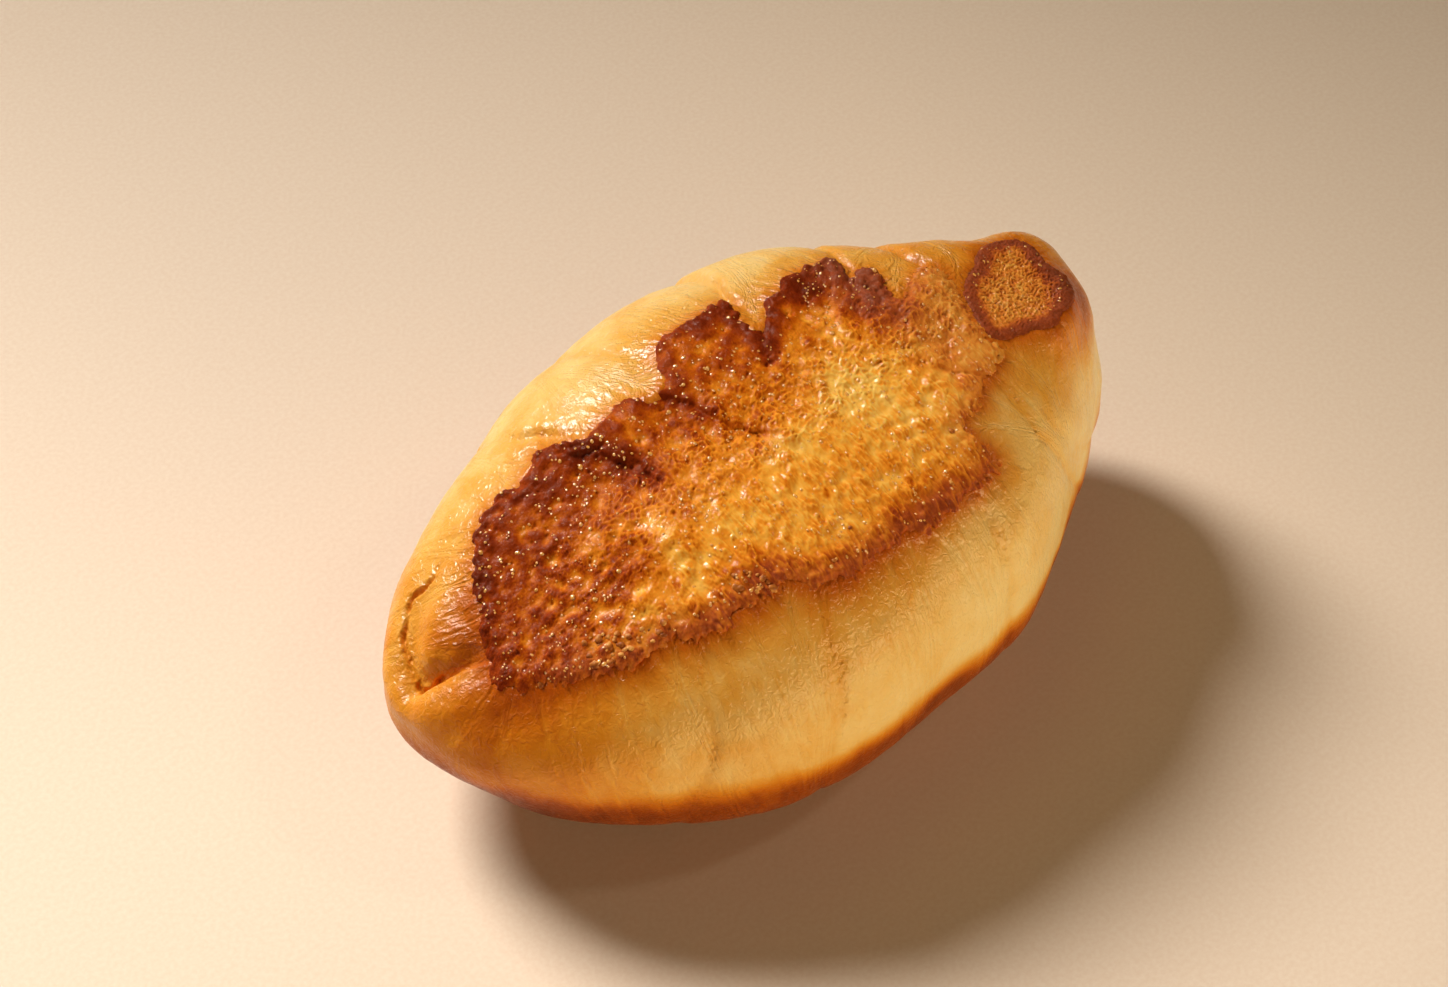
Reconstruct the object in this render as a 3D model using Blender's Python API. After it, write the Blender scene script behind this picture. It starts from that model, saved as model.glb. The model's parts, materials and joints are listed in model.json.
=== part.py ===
"""Salt bread: a soft butter roll that lies on its dome, with its fried base up.

A strip of dough is rolled up from its wide end, so the loaf is a row of
overlapping wraps that narrow towards two ends. Butter runs out while it bakes
and fries the base, where each wrap that touched the pan leaves a round lobe
of brown crust. The whole loaf is one solid.

Frame: X runs along the roll, from the folded end to the knob. Y runs across
it, with the far side at +Y. Z is up, and the fried base is on top.
"""
import bpy
import numpy as np

MM = 0.001

# ---------------------------------------------------------------------------
# Driving dimensions, in millimetres
# ---------------------------------------------------------------------------
FOLDED_HALF = 61.5          # from the middle station to the folded tip
KNOB_HALF = 56.5            # from the middle station to the knob's tip
HEIGHT = 47.0               # from the resting spot to the fried base
WIDEST_SHARE = 0.375        # height of the widest line, as a share of HEIGHT

# At seven stations along the roll, each a share of its half of the length:
# the half-width, as it would be without the rounding of the two ends, and
# how far the loaf's middle sways to the far side.
STATION = (-0.75, -0.50, -0.25, 0.0, 0.25, 0.50, 0.75)
HALF_WIDTH = (34.0, 36.0, 36.7, 36.1, 35.2, 29.4, 22.8)
SWAY = (-3.4, -4.7, -4.0, -3.1, -3.7, -4.9, -6.0)

# Roundness of the outline, the cross-section and the long section: 2 is an
# ellipse, and more is squarer. Pairs are for the folded end and the knob.
PLAN_POWER = (2.3, 2.4)
SIDE_POWER = 2.3
TOP_POWER = 2.8
UNDER_POWER = 2.3
LONG_TOP_POWER = (2.6, 5.8)
LONG_UNDER_POWER = (2.6, 2.6)

BASE_DROP = (9.0, 1.0)      # the fried base falls this far to each tip
SIDE_RISE = (4.0, 5.0)      # the widest line climbs this far to each tip
SIDEWAYS_SLOPE = 0.06       # the far edge of the base is the higher one
REST_FLAT_DEPTH = 0.6       # the soft dome is pressed flat by this much

# Where one wrap ends and the next begins, as X on the way round the loaf:
# far edge of the base, far side, underneath, near side, near edge.
SEAMS = (
    (-22.0, -30.0, -37.0, -40.5, -34.5),
    (-10.0, -12.5, -19.0, -24.5, -20.8),
    (6.3, 9.5, 10.5, 11.0, 10.8),
    (24.0, 34.0, 36.0, 36.5, 26.5),
    (32.5, 42.5, 45.0, 46.0, 29.5),
)
SEAM_ANGLES = (-230.0, -180.0, -90.0, 0.0, 65.0, 130.0)
FAR_WRAP_HEIGHT = 0.9       # how far a wrap bulges between its seams
NEAR_WRAP_HEIGHT = 0.45
TOP_WRAP_HEIGHT = 0.2
WRAP_LEVEL = 0.75           # the smooth loaf lies this far up each bulge
TIP_SLACK = 4.0             # the end wraps would close this far past the tips
TOP_STEEPNESS = (0.55, 0.9)  # the sine of the angle where the top begins, is whole

# The edge of the fried base, as X and Y round it: one lobe for each wrap.
BASE_EDGE = (
    (-52.4, -5.1), (-50.7, -2.2), (-48.1, 2.2), (-45.9, 4.6), (-44.7, 7.1), (-42.6, 7.8),
    (-40.5, 10.3), (-37.9, 11.1), (-35.3, 10.6), (-33.0, 10.6), (-30.6, 11.2), (-28.4, 11.9),
    (-25.7, 9.8), (-23.6, 7.9), (-21.7, 8.1), (-19.7, 8.7), (-16.8, 8.6), (-14.0, 6.6),
    (-10.7, 7.8), (-8.7, 11.0), (-6.0, 13.2), (-2.4, 13.2), (2.1, 13.5), (5.5, 12.5),
    (4.2, 7.7), (4.9, 5.3), (8.6, 7.9), (12.2, 9.5), (17.9, 10.3), (21.9, 9.5),
    (21.0, 5.2), (22.3, 4.6), (24.1, 2.9), (22.7, -1.1), (22.8, -3.3), (27.0, -1.3),
    (32.0, -1.2), (31.3, -4.6), (30.6, -7.7), (28.7, -12.4), (28.3, -16.1), (26.6, -18.7),
    (22.0, -20.6), (18.4, -22.0), (15.4, -24.1), (16.6, -26.8), (15.5, -29.1), (10.5, -30.3),
    (6.9, -30.4), (2.4, -30.2), (-0.3, -30.4), (-3.2, -30.0), (-6.6, -30.0), (-10.5, -29.9),
    (-13.9, -29.7), (-17.9, -27.8), (-20.1, -25.7), (-22.4, -25.7), (-24.6, -25.9), (-27.7, -25.1),
    (-31.0, -24.2), (-34.1, -22.7), (-35.6, -21.3), (-38.0, -20.9), (-40.8, -19.9), (-43.9, -17.9),
    (-47.0, -15.2), (-49.2, -13.3), (-51.8, -11.0), (-53.1, -8.2),
)
CRUST_STEP = 0.9            # the crust's rim stands this far above the skin
CRUST_SLOPE = 1.7           # and rises to it over this distance
CRUST_DISH = 0.9            # the crust sinks this far inside its rim
CRUST_DISH_WIDTH = 6.0
CRUST_RIM_WIDTH = 1.0

# Hollows and swells of the fried base: X, Y, radius, height.
BASE_WAVES = (
    (-9.0, -7.0, 5.5, -0.9),
    (-23.0, -1.0, 5.0, -0.8),
    (-17.0, 5.5, 4.5, 0.6),
    (0.0, 10.0, 5.5, 0.6),
    (-38.0, -3.0, 8.0, -0.7),
    (-28.0, -12.0, 5.0, 0.6),
    (4.0, -14.0, 9.0, -0.6),
    (14.0, -24.0, 6.0, 0.5),
    (23.0, -14.0, 4.0, -0.6),
)

# Where the dough is uneven: X, Y, Z, radius, height. The first three shape
# the knob, which is the roll's end, curled down so that it fried on the pan.
SWELLS = (
    (49.5, -2.5, 40.0, 6.0, 1.8),
    (43.5, 4.5, 41.5, 3.5, -1.4),
    (51.5, -16.0, 29.0, 7.0, -1.7),
    (40.0, -24.0, 17.0, 11.0, 1.0),
    (33.0, 10.0, 43.0, 5.0, -0.9),
    (20.0, 20.0, 41.0, 8.0, 0.6),
    (-57.0, -11.0, 14.0, 6.0, -0.8),
    (-60.0, 4.0, 18.0, 7.0, 0.7),
)

# The disc on top of the knob, pressed flat like a coin.
DISC_CENTRE = (37.8, -10.0)
DISC_RADIUS = 8.5
DISC_HEIGHT = 43.7
DISC_SLOPE = (-0.14, 0.14)  # its rise for each mm along X and along Y
DISC_RIM = 0.5
DISC_RIM_WIDTH = 1.3
DISC_EDGE = 2.0             # outside its radius it falls to the skin over this

# The fold at the other end: the outer wrap laps round the tip like a C.
# X, Y, Z along the groove, and its depth there.
FOLD = (
    (-46.3, 12.3, 33.9, 0.5),
    (-50.1, 10.9, 32.0, 0.8),
    (-53.5, 9.0, 30.1, 1.1),
    (-57.2, 5.7, 27.9, 1.6),
    (-58.7, 2.0, 27.2, 2.6),
    (-57.1, -0.4, 28.8, 2.4),
    (-52.0, -3.9, 32.3, 1.2),
)
FOLD_WIDTH = 1.9
FOLD_LIP = 0.35             # the lips beside it swell by this share of it
FOLD_LIP_PLACE = 2.2        # and are highest at this many widths from it

# Mesh
STATION_COUNT = 90
TIP_CROWDING = 0.45         # share of the spacing that crowds at the tips
BASE_SPAN = (0.60, -0.80)   # far and near limit of the fine columns
BASE_COLUMNS = 27
FAR_SHOULDER_COLUMNS = 6
NEAR_SHOULDER_COLUMNS = 6
UNDER_COLUMNS = 14


def smoothstep(t):
    """A soft step from 0 to 1 as t goes from 0 to 1."""
    t = np.clip(t, 0.0, 1.0)
    return t * t * (3.0 - 2.0 * t)


def through_stations(values, u):
    """A batten bent through one value for each station: a natural spline."""
    knots = np.array(STATION)
    values = np.array(values)
    gap = knots[1] - knots[0]
    count = len(knots)
    bend = np.eye(count)
    pull = np.zeros(count)
    for i in range(1, count - 1):
        bend[i, i - 1:i + 2] = (1.0, 4.0, 1.0)
        pull[i] = 6.0 * (values[i - 1] - 2.0 * values[i] + values[i + 1]) / gap ** 2
    curvature = np.linalg.solve(bend, pull)
    i = np.clip(((u - knots[0]) / gap).astype(int), 0, count - 2)
    t = (u - knots[i]) / gap
    inside = (values[i] * (1.0 - t) + values[i + 1] * t
              + gap ** 2 / 6.0 * (curvature[i] * ((1.0 - t) ** 3 - (1.0 - t))
                                  + curvature[i + 1] * (t ** 3 - t)))
    slope = (values[1] - values[0]) / gap - gap / 6.0 * curvature[1]
    last_slope = (values[-1] - values[-2]) / gap + gap / 6.0 * curvature[-2]
    before = values[0] + slope * (u - knots[0])
    after = values[-1] + last_slope * (u - knots[-1])
    return np.where(u < knots[0], before, np.where(u > knots[-1], after, inside))


def by_end(pair, u):
    """The value for the folded end or for the knob."""
    return np.where(u < 0.0, pair[0], pair[1])


def rounded_end(u, power):
    """1 along the middle of the loaf, falling to 0 at its two tips."""
    return np.sqrt(np.clip(1.0 - np.abs(u) ** by_end(power, u), 0.0, 1.0))


def half_width(u):
    """Half-width of the loaf at a share u of its half length."""
    held = np.clip(u, STATION[0], STATION[-1])
    return rounded_end(u, PLAN_POWER) * through_stations(HALF_WIDTH, held)


def loaf_surface(u, angle):
    """The smooth loaf, before wraps and crust: points for u and an angle.

    The angle goes round the section in radians: 0 is the far side, a quarter
    turn is the top, a half turn the near side.
    """
    side = np.cos(angle)
    rise = np.sin(angle)
    across = half_width(u) * np.sign(side) * np.abs(side) ** (2.0 / SIDE_POWER)
    top = HEIGHT - by_end(BASE_DROP, u) * u ** 2
    middle = HEIGHT * WIDEST_SHARE + by_end(SIDE_RISE, u) * u ** 2
    crown = np.abs(rise) ** (2.0 / TOP_POWER) * rounded_end(u, LONG_TOP_POWER)
    above = crown * (top - middle + SIDEWAYS_SLOPE * across)
    keel = np.abs(rise) ** (2.0 / UNDER_POWER) * rounded_end(u, LONG_UNDER_POWER)
    x = u * by_end((FOLDED_HALF, KNOB_HALF), u)
    z = middle + np.where(rise > 0.0, above, -middle * keel)
    return np.stack([x, across + through_stations(SWAY, u), z], axis=-1)


def inside_edge(edge, x, y):
    """Distance inside a closed edge line, less than 0 outside it."""
    nearest = np.full(x.shape, np.inf)
    within = np.zeros(x.shape, bool)
    for (x0, y0), (x1, y1) in zip(edge, edge[1:] + edge[:1]):
        along_x, along_y = x1 - x0, y1 - y0
        t = ((x - x0) * along_x + (y - y0) * along_y) / (along_x ** 2 + along_y ** 2)
        t = np.clip(t, 0.0, 1.0)
        away = np.hypot(x - x0 - t * along_x, y - y0 - t * along_y)
        nearest = np.minimum(nearest, away)
        if y0 != y1:
            crossed = ((y0 > y) != (y1 > y)) & (x < x0 + along_x * (y - y0) / along_y)
            within = within ^ crossed
    return np.where(within, nearest, -nearest)


def wrap_bulge(points, angle):
    """How far each wrap swells between the seams on its two sides."""
    degrees = np.degrees(angle)
    turned = np.where(degrees > SEAM_ANGLES[-1], degrees - 360.0, degrees)
    x = points[..., 0]
    below = np.full_like(x, -FOLDED_HALF - TIP_SLACK)
    above = np.full_like(x, KNOB_HALF + TIP_SLACK)
    for far_edge, far_side, under, near_side, near_edge in SEAMS:
        way_round = (near_edge, near_side, under, far_side, far_edge, near_edge)
        seam = np.interp(turned, SEAM_ANGLES, way_round)
        below = np.where((seam <= x) & (seam > below), seam, below)
        above = np.where((seam > x) & (seam < above), seam, above)
    across = np.clip((x - below) / (above - below), 0.0, 1.0)
    bulge = np.sqrt(4.0 * across * (1.0 - across)) - WRAP_LEVEL
    begins, whole = TOP_STEEPNESS
    on_top = smoothstep((np.sin(angle) - begins) / (whole - begins))
    far_share = smoothstep(0.5 + np.cos(angle))
    sides = NEAR_WRAP_HEIGHT + (FAR_WRAP_HEIGHT - NEAR_WRAP_HEIGHT) * far_share
    return bulge * (sides + (TOP_WRAP_HEIGHT - sides) * on_top)


def crust_relief(points, angle):
    """The fried base: a raised rim round a dished, wavy floor."""
    x, y = points[..., 0], points[..., 1]
    inside = inside_edge(BASE_EDGE, x, y)
    relief = CRUST_STEP * smoothstep(inside / CRUST_SLOPE + 0.5)
    in_dish = inside - CRUST_RIM_WIDTH
    relief = relief - CRUST_DISH * smoothstep(in_dish / CRUST_DISH_WIDTH)
    on_base = smoothstep(inside / CRUST_SLOPE)
    for wave_x, wave_y, radius, height in BASE_WAVES:
        away = ((x - wave_x) ** 2 + (y - wave_y) ** 2) / radius ** 2
        relief = relief + on_base * height * np.exp(-away)
    return np.where(np.sin(angle) > 0.2, relief, 0.0)


def fold_groove(points):
    """The C-shaped fold at the tip: a groove with swollen lips."""
    fold = np.array(FOLD)
    groove = np.zeros(points.shape[:-1])
    nearest = np.full(points.shape[:-1], 1e3)
    for start, end in zip(fold[:-1], fold[1:]):
        along = end[:3] - start[:3]
        t = np.clip(((points - start[:3]) @ along) / (along @ along), 0.0, 1.0)
        away = np.linalg.norm(points - (start[:3] + t[..., None] * along), axis=-1)
        depth = start[3] + (end[3] - start[3]) * t
        dip = np.exp(-(away / FOLD_WIDTH) ** 2)
        lip = np.exp(-(away / FOLD_WIDTH - FOLD_LIP_PLACE) ** 2)
        groove = np.where(away < nearest, depth * (FOLD_LIP * lip - dip), groove)
        nearest = np.minimum(nearest, away)
    return groove


def uneven_dough(points):
    """Soft swells and dents where the loaf isn't even."""
    relief = np.zeros(points.shape[:-1])
    for x, y, z, radius, height in SWELLS:
        away = np.linalg.norm(points - np.array((x, y, z)), axis=-1) / radius
        relief = relief + height * np.exp(-away ** 2)
    return relief


def press_disc(points):
    """The knob's top is pressed flat inside a low rim, like a coin."""
    x, y = points[..., 0], points[..., 1]
    away = np.hypot(x - DISC_CENTRE[0], y - DISC_CENTRE[1])
    flat = (DISC_HEIGHT + DISC_SLOPE[0] * (x - DISC_CENTRE[0])
            + DISC_SLOPE[1] * (y - DISC_CENTRE[1]))
    from_rim = (away - DISC_RADIUS + DISC_RIM_WIDTH) / DISC_RIM_WIDTH
    rim = DISC_RIM * np.exp(-from_rim ** 2)
    share = smoothstep(1.0 - (away - DISC_RADIUS) / DISC_EDGE)
    share = np.where(points[..., 2] > HEIGHT * 0.7, share, 0.0)
    points[..., 2] += share * (flat + rim - points[..., 2])
    return points


def surface_normals(u, angle):
    """Outward normals of the smooth loaf."""
    step = 1e-3
    inner_u = np.clip(u, -0.995, 0.995)
    along = loaf_surface(inner_u + step, angle) - loaf_surface(inner_u - step, angle)
    around = loaf_surface(inner_u, angle + step) - loaf_surface(inner_u, angle - step)
    normal = np.cross(around, along)
    return normal / np.maximum(np.linalg.norm(normal, axis=-1, keepdims=True), 1e-9)


def station_shares():
    """Stations along the roll, crowded towards the tips, without the tips."""
    t = np.linspace(-1.0, 1.0, STATION_COUNT + 2)[1:-1]
    return (1.0 - TIP_CROWDING) * t + TIP_CROWDING * np.sin(0.5 * np.pi * t)


def column_angles():
    """Angles round the section: fine across the base, wider underneath."""
    share = np.linspace(BASE_SPAN[0], BASE_SPAN[1], BASE_COLUMNS)
    base = np.arccos(np.sign(share) * np.abs(share) ** (SIDE_POWER / 2.0))
    return np.concatenate([
        np.linspace(0.0, base[0], FAR_SHOULDER_COLUMNS + 1)[:-1],
        base,
        np.linspace(base[-1], np.pi, NEAR_SHOULDER_COLUMNS + 1)[1:],
        np.linspace(np.pi, 2.0 * np.pi, UNDER_COLUMNS + 1)[1:-1],
    ])


def loaf_points():
    """All rings of points round the loaf, and its two tips."""
    u, angle = np.meshgrid(station_shares(), column_angles(), indexing="ij")
    points = loaf_surface(u, angle)
    outward = surface_normals(u, angle)
    relief = wrap_bulge(points, angle) + crust_relief(points, angle)
    relief = relief + fold_groove(points) + uneven_dough(points)
    points = press_disc(points + outward * relief[..., None])
    tips = loaf_surface(np.array([-1.0, 1.0]), np.zeros(2))
    tips[:, 1:] = points[[0, -1]].mean(axis=1)[:, 1:]
    lowest = points[..., 2].min() + REST_FLAT_DEPTH
    points[..., 2] = np.maximum(points[..., 2], lowest)
    return points, tips


def loaf_mesh():
    """One closed skin of quads, with a fan of triangles at each tip."""
    rings, tips = loaf_points()
    stations, columns = rings.shape[:2]
    points = np.concatenate([rings.reshape(-1, 3), tips])
    lowest, highest = points.min(axis=0), points.max(axis=0)
    middle = 0.5 * (lowest + highest)
    points -= np.array([middle[0], middle[1], lowest[2]])

    faces = []
    for i in range(stations - 1):
        for j in range(columns):
            k = (j + 1) % columns
            faces.append((i * columns + j, i * columns + k,
                          (i + 1) * columns + k, (i + 1) * columns + j))
    first_tip = stations * columns
    last_ring = (stations - 1) * columns
    for j in range(columns):
        k = (j + 1) % columns
        faces.append((first_tip, k, j))
        faces.append((first_tip + 1, last_ring + j, last_ring + k))
    mesh = bpy.data.meshes.new("bread")
    mesh.from_pydata((points * MM).tolist(), [], faces)
    mesh.validate()
    mesh.shade_smooth()
    return mesh


def baked_dough():
    """Buttered golden skin: a soft gloss over warm yellow."""
    material = bpy.data.materials.new("baked_dough")
    material.use_nodes = True
    shader = material.node_tree.nodes["Principled BSDF"]
    shader.inputs["Base Color"].default_value = (0.70, 0.36, 0.09, 1.0)
    shader.inputs["Roughness"].default_value = 0.42
    shader.inputs["Metallic"].default_value = 0.0
    return material


def main():
    for old in list(bpy.data.objects):
        bpy.data.objects.remove(old, do_unlink=True)
    mesh = loaf_mesh()
    mesh.materials.append(baked_dough())
    bread = bpy.data.objects.new("bread", mesh)
    bpy.context.scene.collection.objects.link(bread)


main()
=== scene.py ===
# %% [markdown]
# # A salt bread that lies on its dome
#
# The bread is a strip of buttered dough rolled up into a spindle. Butter runs out of it while
# it bakes and fries the side that touches the pan. Here it lies the other way up, so that
# fried base is on top: a scalloped, coral-like crust, with one round lobe for each wrap of
# the roll. Everything round it is soft, buttered skin.
#
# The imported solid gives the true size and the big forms. This script makes the surfaces that
# one sees: the skin, the fried base, the disc on the knob, and the butter and crumbs on them.

# %% Load the frame
import contextlib
import json
import math

import bpy
import numpy as np
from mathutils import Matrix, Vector
from mathutils.kdtree import KDTree

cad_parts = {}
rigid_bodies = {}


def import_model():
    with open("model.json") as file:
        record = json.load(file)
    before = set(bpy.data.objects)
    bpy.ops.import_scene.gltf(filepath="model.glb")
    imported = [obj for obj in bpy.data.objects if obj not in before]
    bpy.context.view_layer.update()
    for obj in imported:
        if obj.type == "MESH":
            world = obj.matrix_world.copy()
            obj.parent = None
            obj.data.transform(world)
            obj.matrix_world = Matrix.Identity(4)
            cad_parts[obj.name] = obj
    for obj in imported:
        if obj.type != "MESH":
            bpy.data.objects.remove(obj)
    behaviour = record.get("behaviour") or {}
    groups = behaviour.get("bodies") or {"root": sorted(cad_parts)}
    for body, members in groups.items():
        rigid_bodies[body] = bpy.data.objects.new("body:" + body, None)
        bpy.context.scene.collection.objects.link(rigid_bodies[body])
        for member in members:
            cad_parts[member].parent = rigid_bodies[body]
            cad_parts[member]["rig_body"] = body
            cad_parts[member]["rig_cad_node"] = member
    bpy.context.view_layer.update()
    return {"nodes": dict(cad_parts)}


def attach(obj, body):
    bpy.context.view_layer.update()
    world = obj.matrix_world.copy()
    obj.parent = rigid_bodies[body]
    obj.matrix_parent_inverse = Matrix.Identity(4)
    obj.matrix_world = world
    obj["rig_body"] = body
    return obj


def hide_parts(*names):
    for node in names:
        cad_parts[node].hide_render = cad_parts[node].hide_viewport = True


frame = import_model()
MM = 0.001
# A height above everything, from which rays and nets come down.
ABOVE_ALL = 80.0

# %% [markdown]
# ## The camera
#
# The photo looks down on the bread from its near left. Its angle, distance and lens were
# found by laying the solid's outline over the bread's outline in the photo.

# %% Camera
CAMERA_TURN = math.radians(-42.46)
CAMERA_RISE = math.radians(48.0)
CAMERA_DISTANCE = 470.98 * MM
CAMERA_AIM = Vector((-1.53, 5.89, 23.06)) * MM

toward_camera = Vector((
    math.sin(CAMERA_TURN) * math.cos(CAMERA_RISE),
    -math.cos(CAMERA_TURN) * math.cos(CAMERA_RISE),
    math.sin(CAMERA_RISE),
))
camera = bpy.data.objects.new("camera", bpy.data.cameras.new("camera"))
camera.data.lens = 85.0
camera.data.sensor_width = 36.0
camera.location = CAMERA_AIM + toward_camera * CAMERA_DISTANCE
camera.rotation_euler = toward_camera.to_track_quat("Z", "Y").to_euler()
bpy.context.scene.collection.objects.link(camera)
bpy.context.scene.camera = camera

# %% [markdown]
# ## Small tools
#
# Blender's operators act on what is selected, so one helper selects a piece alone. Shapes
# are worked out in millimetres, with numpy, on all the points of a mesh at once.

# %% Tools for meshes


def select_only(piece):
    """Deselects everything else, so that an operator acts on this piece."""
    bpy.ops.object.select_all(action="DESELECT")
    piece.select_set(True)
    bpy.context.view_layer.objects.active = piece


def apply_modifier(piece, kind, **settings):
    """Adds a modifier, sets it and applies it."""
    select_only(piece)
    modifier = piece.modifiers.new(kind.lower(), kind)
    for setting, value in settings.items():
        setattr(modifier, setting, value)
    bpy.ops.object.modifier_apply(modifier=modifier.name)


def numbers(items, field):
    """A field of three numbers, such as a place, for all of these items."""
    values = np.empty(len(items) * 3, np.float32)
    items.foreach_get(field, values)
    return values.reshape(-1, 3).astype(float)


def points_of(piece):
    """The mesh's points, in millimetres."""
    return numbers(piece.data.vertices, "co") / MM


def face_centres(piece):
    """The middles of the faces, in millimetres."""
    return numbers(piece.data.polygons, "center") / MM


def normals_of(piece):
    return numbers(piece.data.vertex_normals, "vector")


def move_points(piece, points):
    piece.data.vertices.foreach_set("co", (points * MM).astype(np.float32).ravel())
    piece.data.update()


def store(piece, name, values):
    """Keeps one number, or one vector, for each point: the materials read it by name."""
    kind = "FLOAT_VECTOR" if np.ndim(values) == 2 else "FLOAT"
    field = "vector" if np.ndim(values) == 2 else "value"
    layer = piece.data.attributes.new(name, kind, "POINT")
    layer.data.foreach_set(field, np.asarray(values, np.float32).ravel())


@contextlib.contextmanager
def edit_mode():
    """Goes into edit mode for the lines under it, then back to object mode."""
    bpy.ops.object.mode_set(mode="EDIT")
    yield
    bpy.ops.object.mode_set(mode="OBJECT")


def select_faces(piece, chosen):
    """Selects these faces, for the next operator in edit mode."""
    bpy.context.tool_settings.mesh_select_mode = (False, False, True)
    piece.data.vertices.foreach_set("select", np.zeros(len(piece.data.vertices), bool))
    piece.data.edges.foreach_set("select", np.zeros(len(piece.data.edges), bool))
    piece.data.polygons.foreach_set("select", np.asarray(chosen, bool))


def refine(piece, chosen):
    """Cuts each of these faces in four."""
    select_only(piece)
    select_faces(piece, chosen)
    with edit_mode():
        bpy.ops.mesh.subdivide(number_cuts=1)


def spread(piece, values, rounds):
    """Averages values with those of the neighbouring points, round after round."""
    pairs = np.empty(len(piece.data.edges) * 2, np.int32)
    piece.data.edges.foreach_get("vertices", pairs)
    one, other = pairs.reshape(-1, 2).T
    total = len(values)
    neighbours = np.bincount(pairs, minlength=total)
    for _ in range(rounds):
        for column in values.T:
            summed = np.bincount(one, column[other], total)
            summed += np.bincount(other, column[one], total)
            column[:] = 0.5 * column + 0.5 * summed / neighbours
    return values


def triangles_of(piece):
    piece.data.calc_loop_triangles()
    return len(piece.data.loop_triangles)


# %% Tools for uneven surfaces
# Large primes, which mix a cell's place into the number of one of the random heights.
CELL_PRIMES = (73856093, 19349663, 83492791)
RANDOM_HEIGHTS = 4096


def smoothstep(t):
    """A soft step from 0 to 1 as t goes from 0 to 1."""
    t = np.clip(t, 0.0, 1.0)
    return t * t * (3.0 - 2.0 * t)


def saturate(values, most):
    """Bends values above 0 softly over, so that they stay under the most."""
    return most * np.tanh(np.clip(values, 0.0, None) / most)


def lumps(points, size, seed):
    """Smooth noise in space, about -1 to 1, with lumps of this size."""
    scaled = np.asarray(points, float) / size
    cell = np.floor(scaled).astype(np.int64)
    t = smoothstep(scaled - cell)
    heights = np.random.default_rng(seed).uniform(-1.6, 1.6, RANDOM_HEIGHTS)
    total = np.zeros(len(scaled))
    for corner in np.ndindex(2, 2, 2):
        share = np.prod(np.where(corner, t, 1.0 - t), axis=1)
        mixed = np.bitwise_xor.reduce((cell + corner) * CELL_PRIMES, axis=1)
        total += share * heights[mixed % RANDOM_HEIGHTS]
    return total


def ripples(shape, spacing, wave, seed, spread=0.35, stretch=1.0):
    """Noise on a grid whose crests lie about one wave apart, longer in Y by stretch."""
    white = np.random.default_rng(seed).standard_normal(shape)
    along_y = np.fft.fftfreq(shape[0], spacing)[:, None] * stretch
    along_x = np.fft.fftfreq(shape[1], spacing)[None, :]
    band = np.exp(-((np.hypot(along_x, along_y) * wave - 1.0) / spread) ** 2)
    noise = np.fft.ifft2(np.fft.fft2(white) * band).real
    return noise / noise.std()


# %% [markdown]
# ## The plan of the fried base
#
# Each wrap that touched the pan left one round lobe, so the crust's edge is a row of lobes on
# the far side and another on the near side. The edge is a closed line of points, traced on
# the solid. Most shapes and colours below are worked out from the distance to that line.

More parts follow.
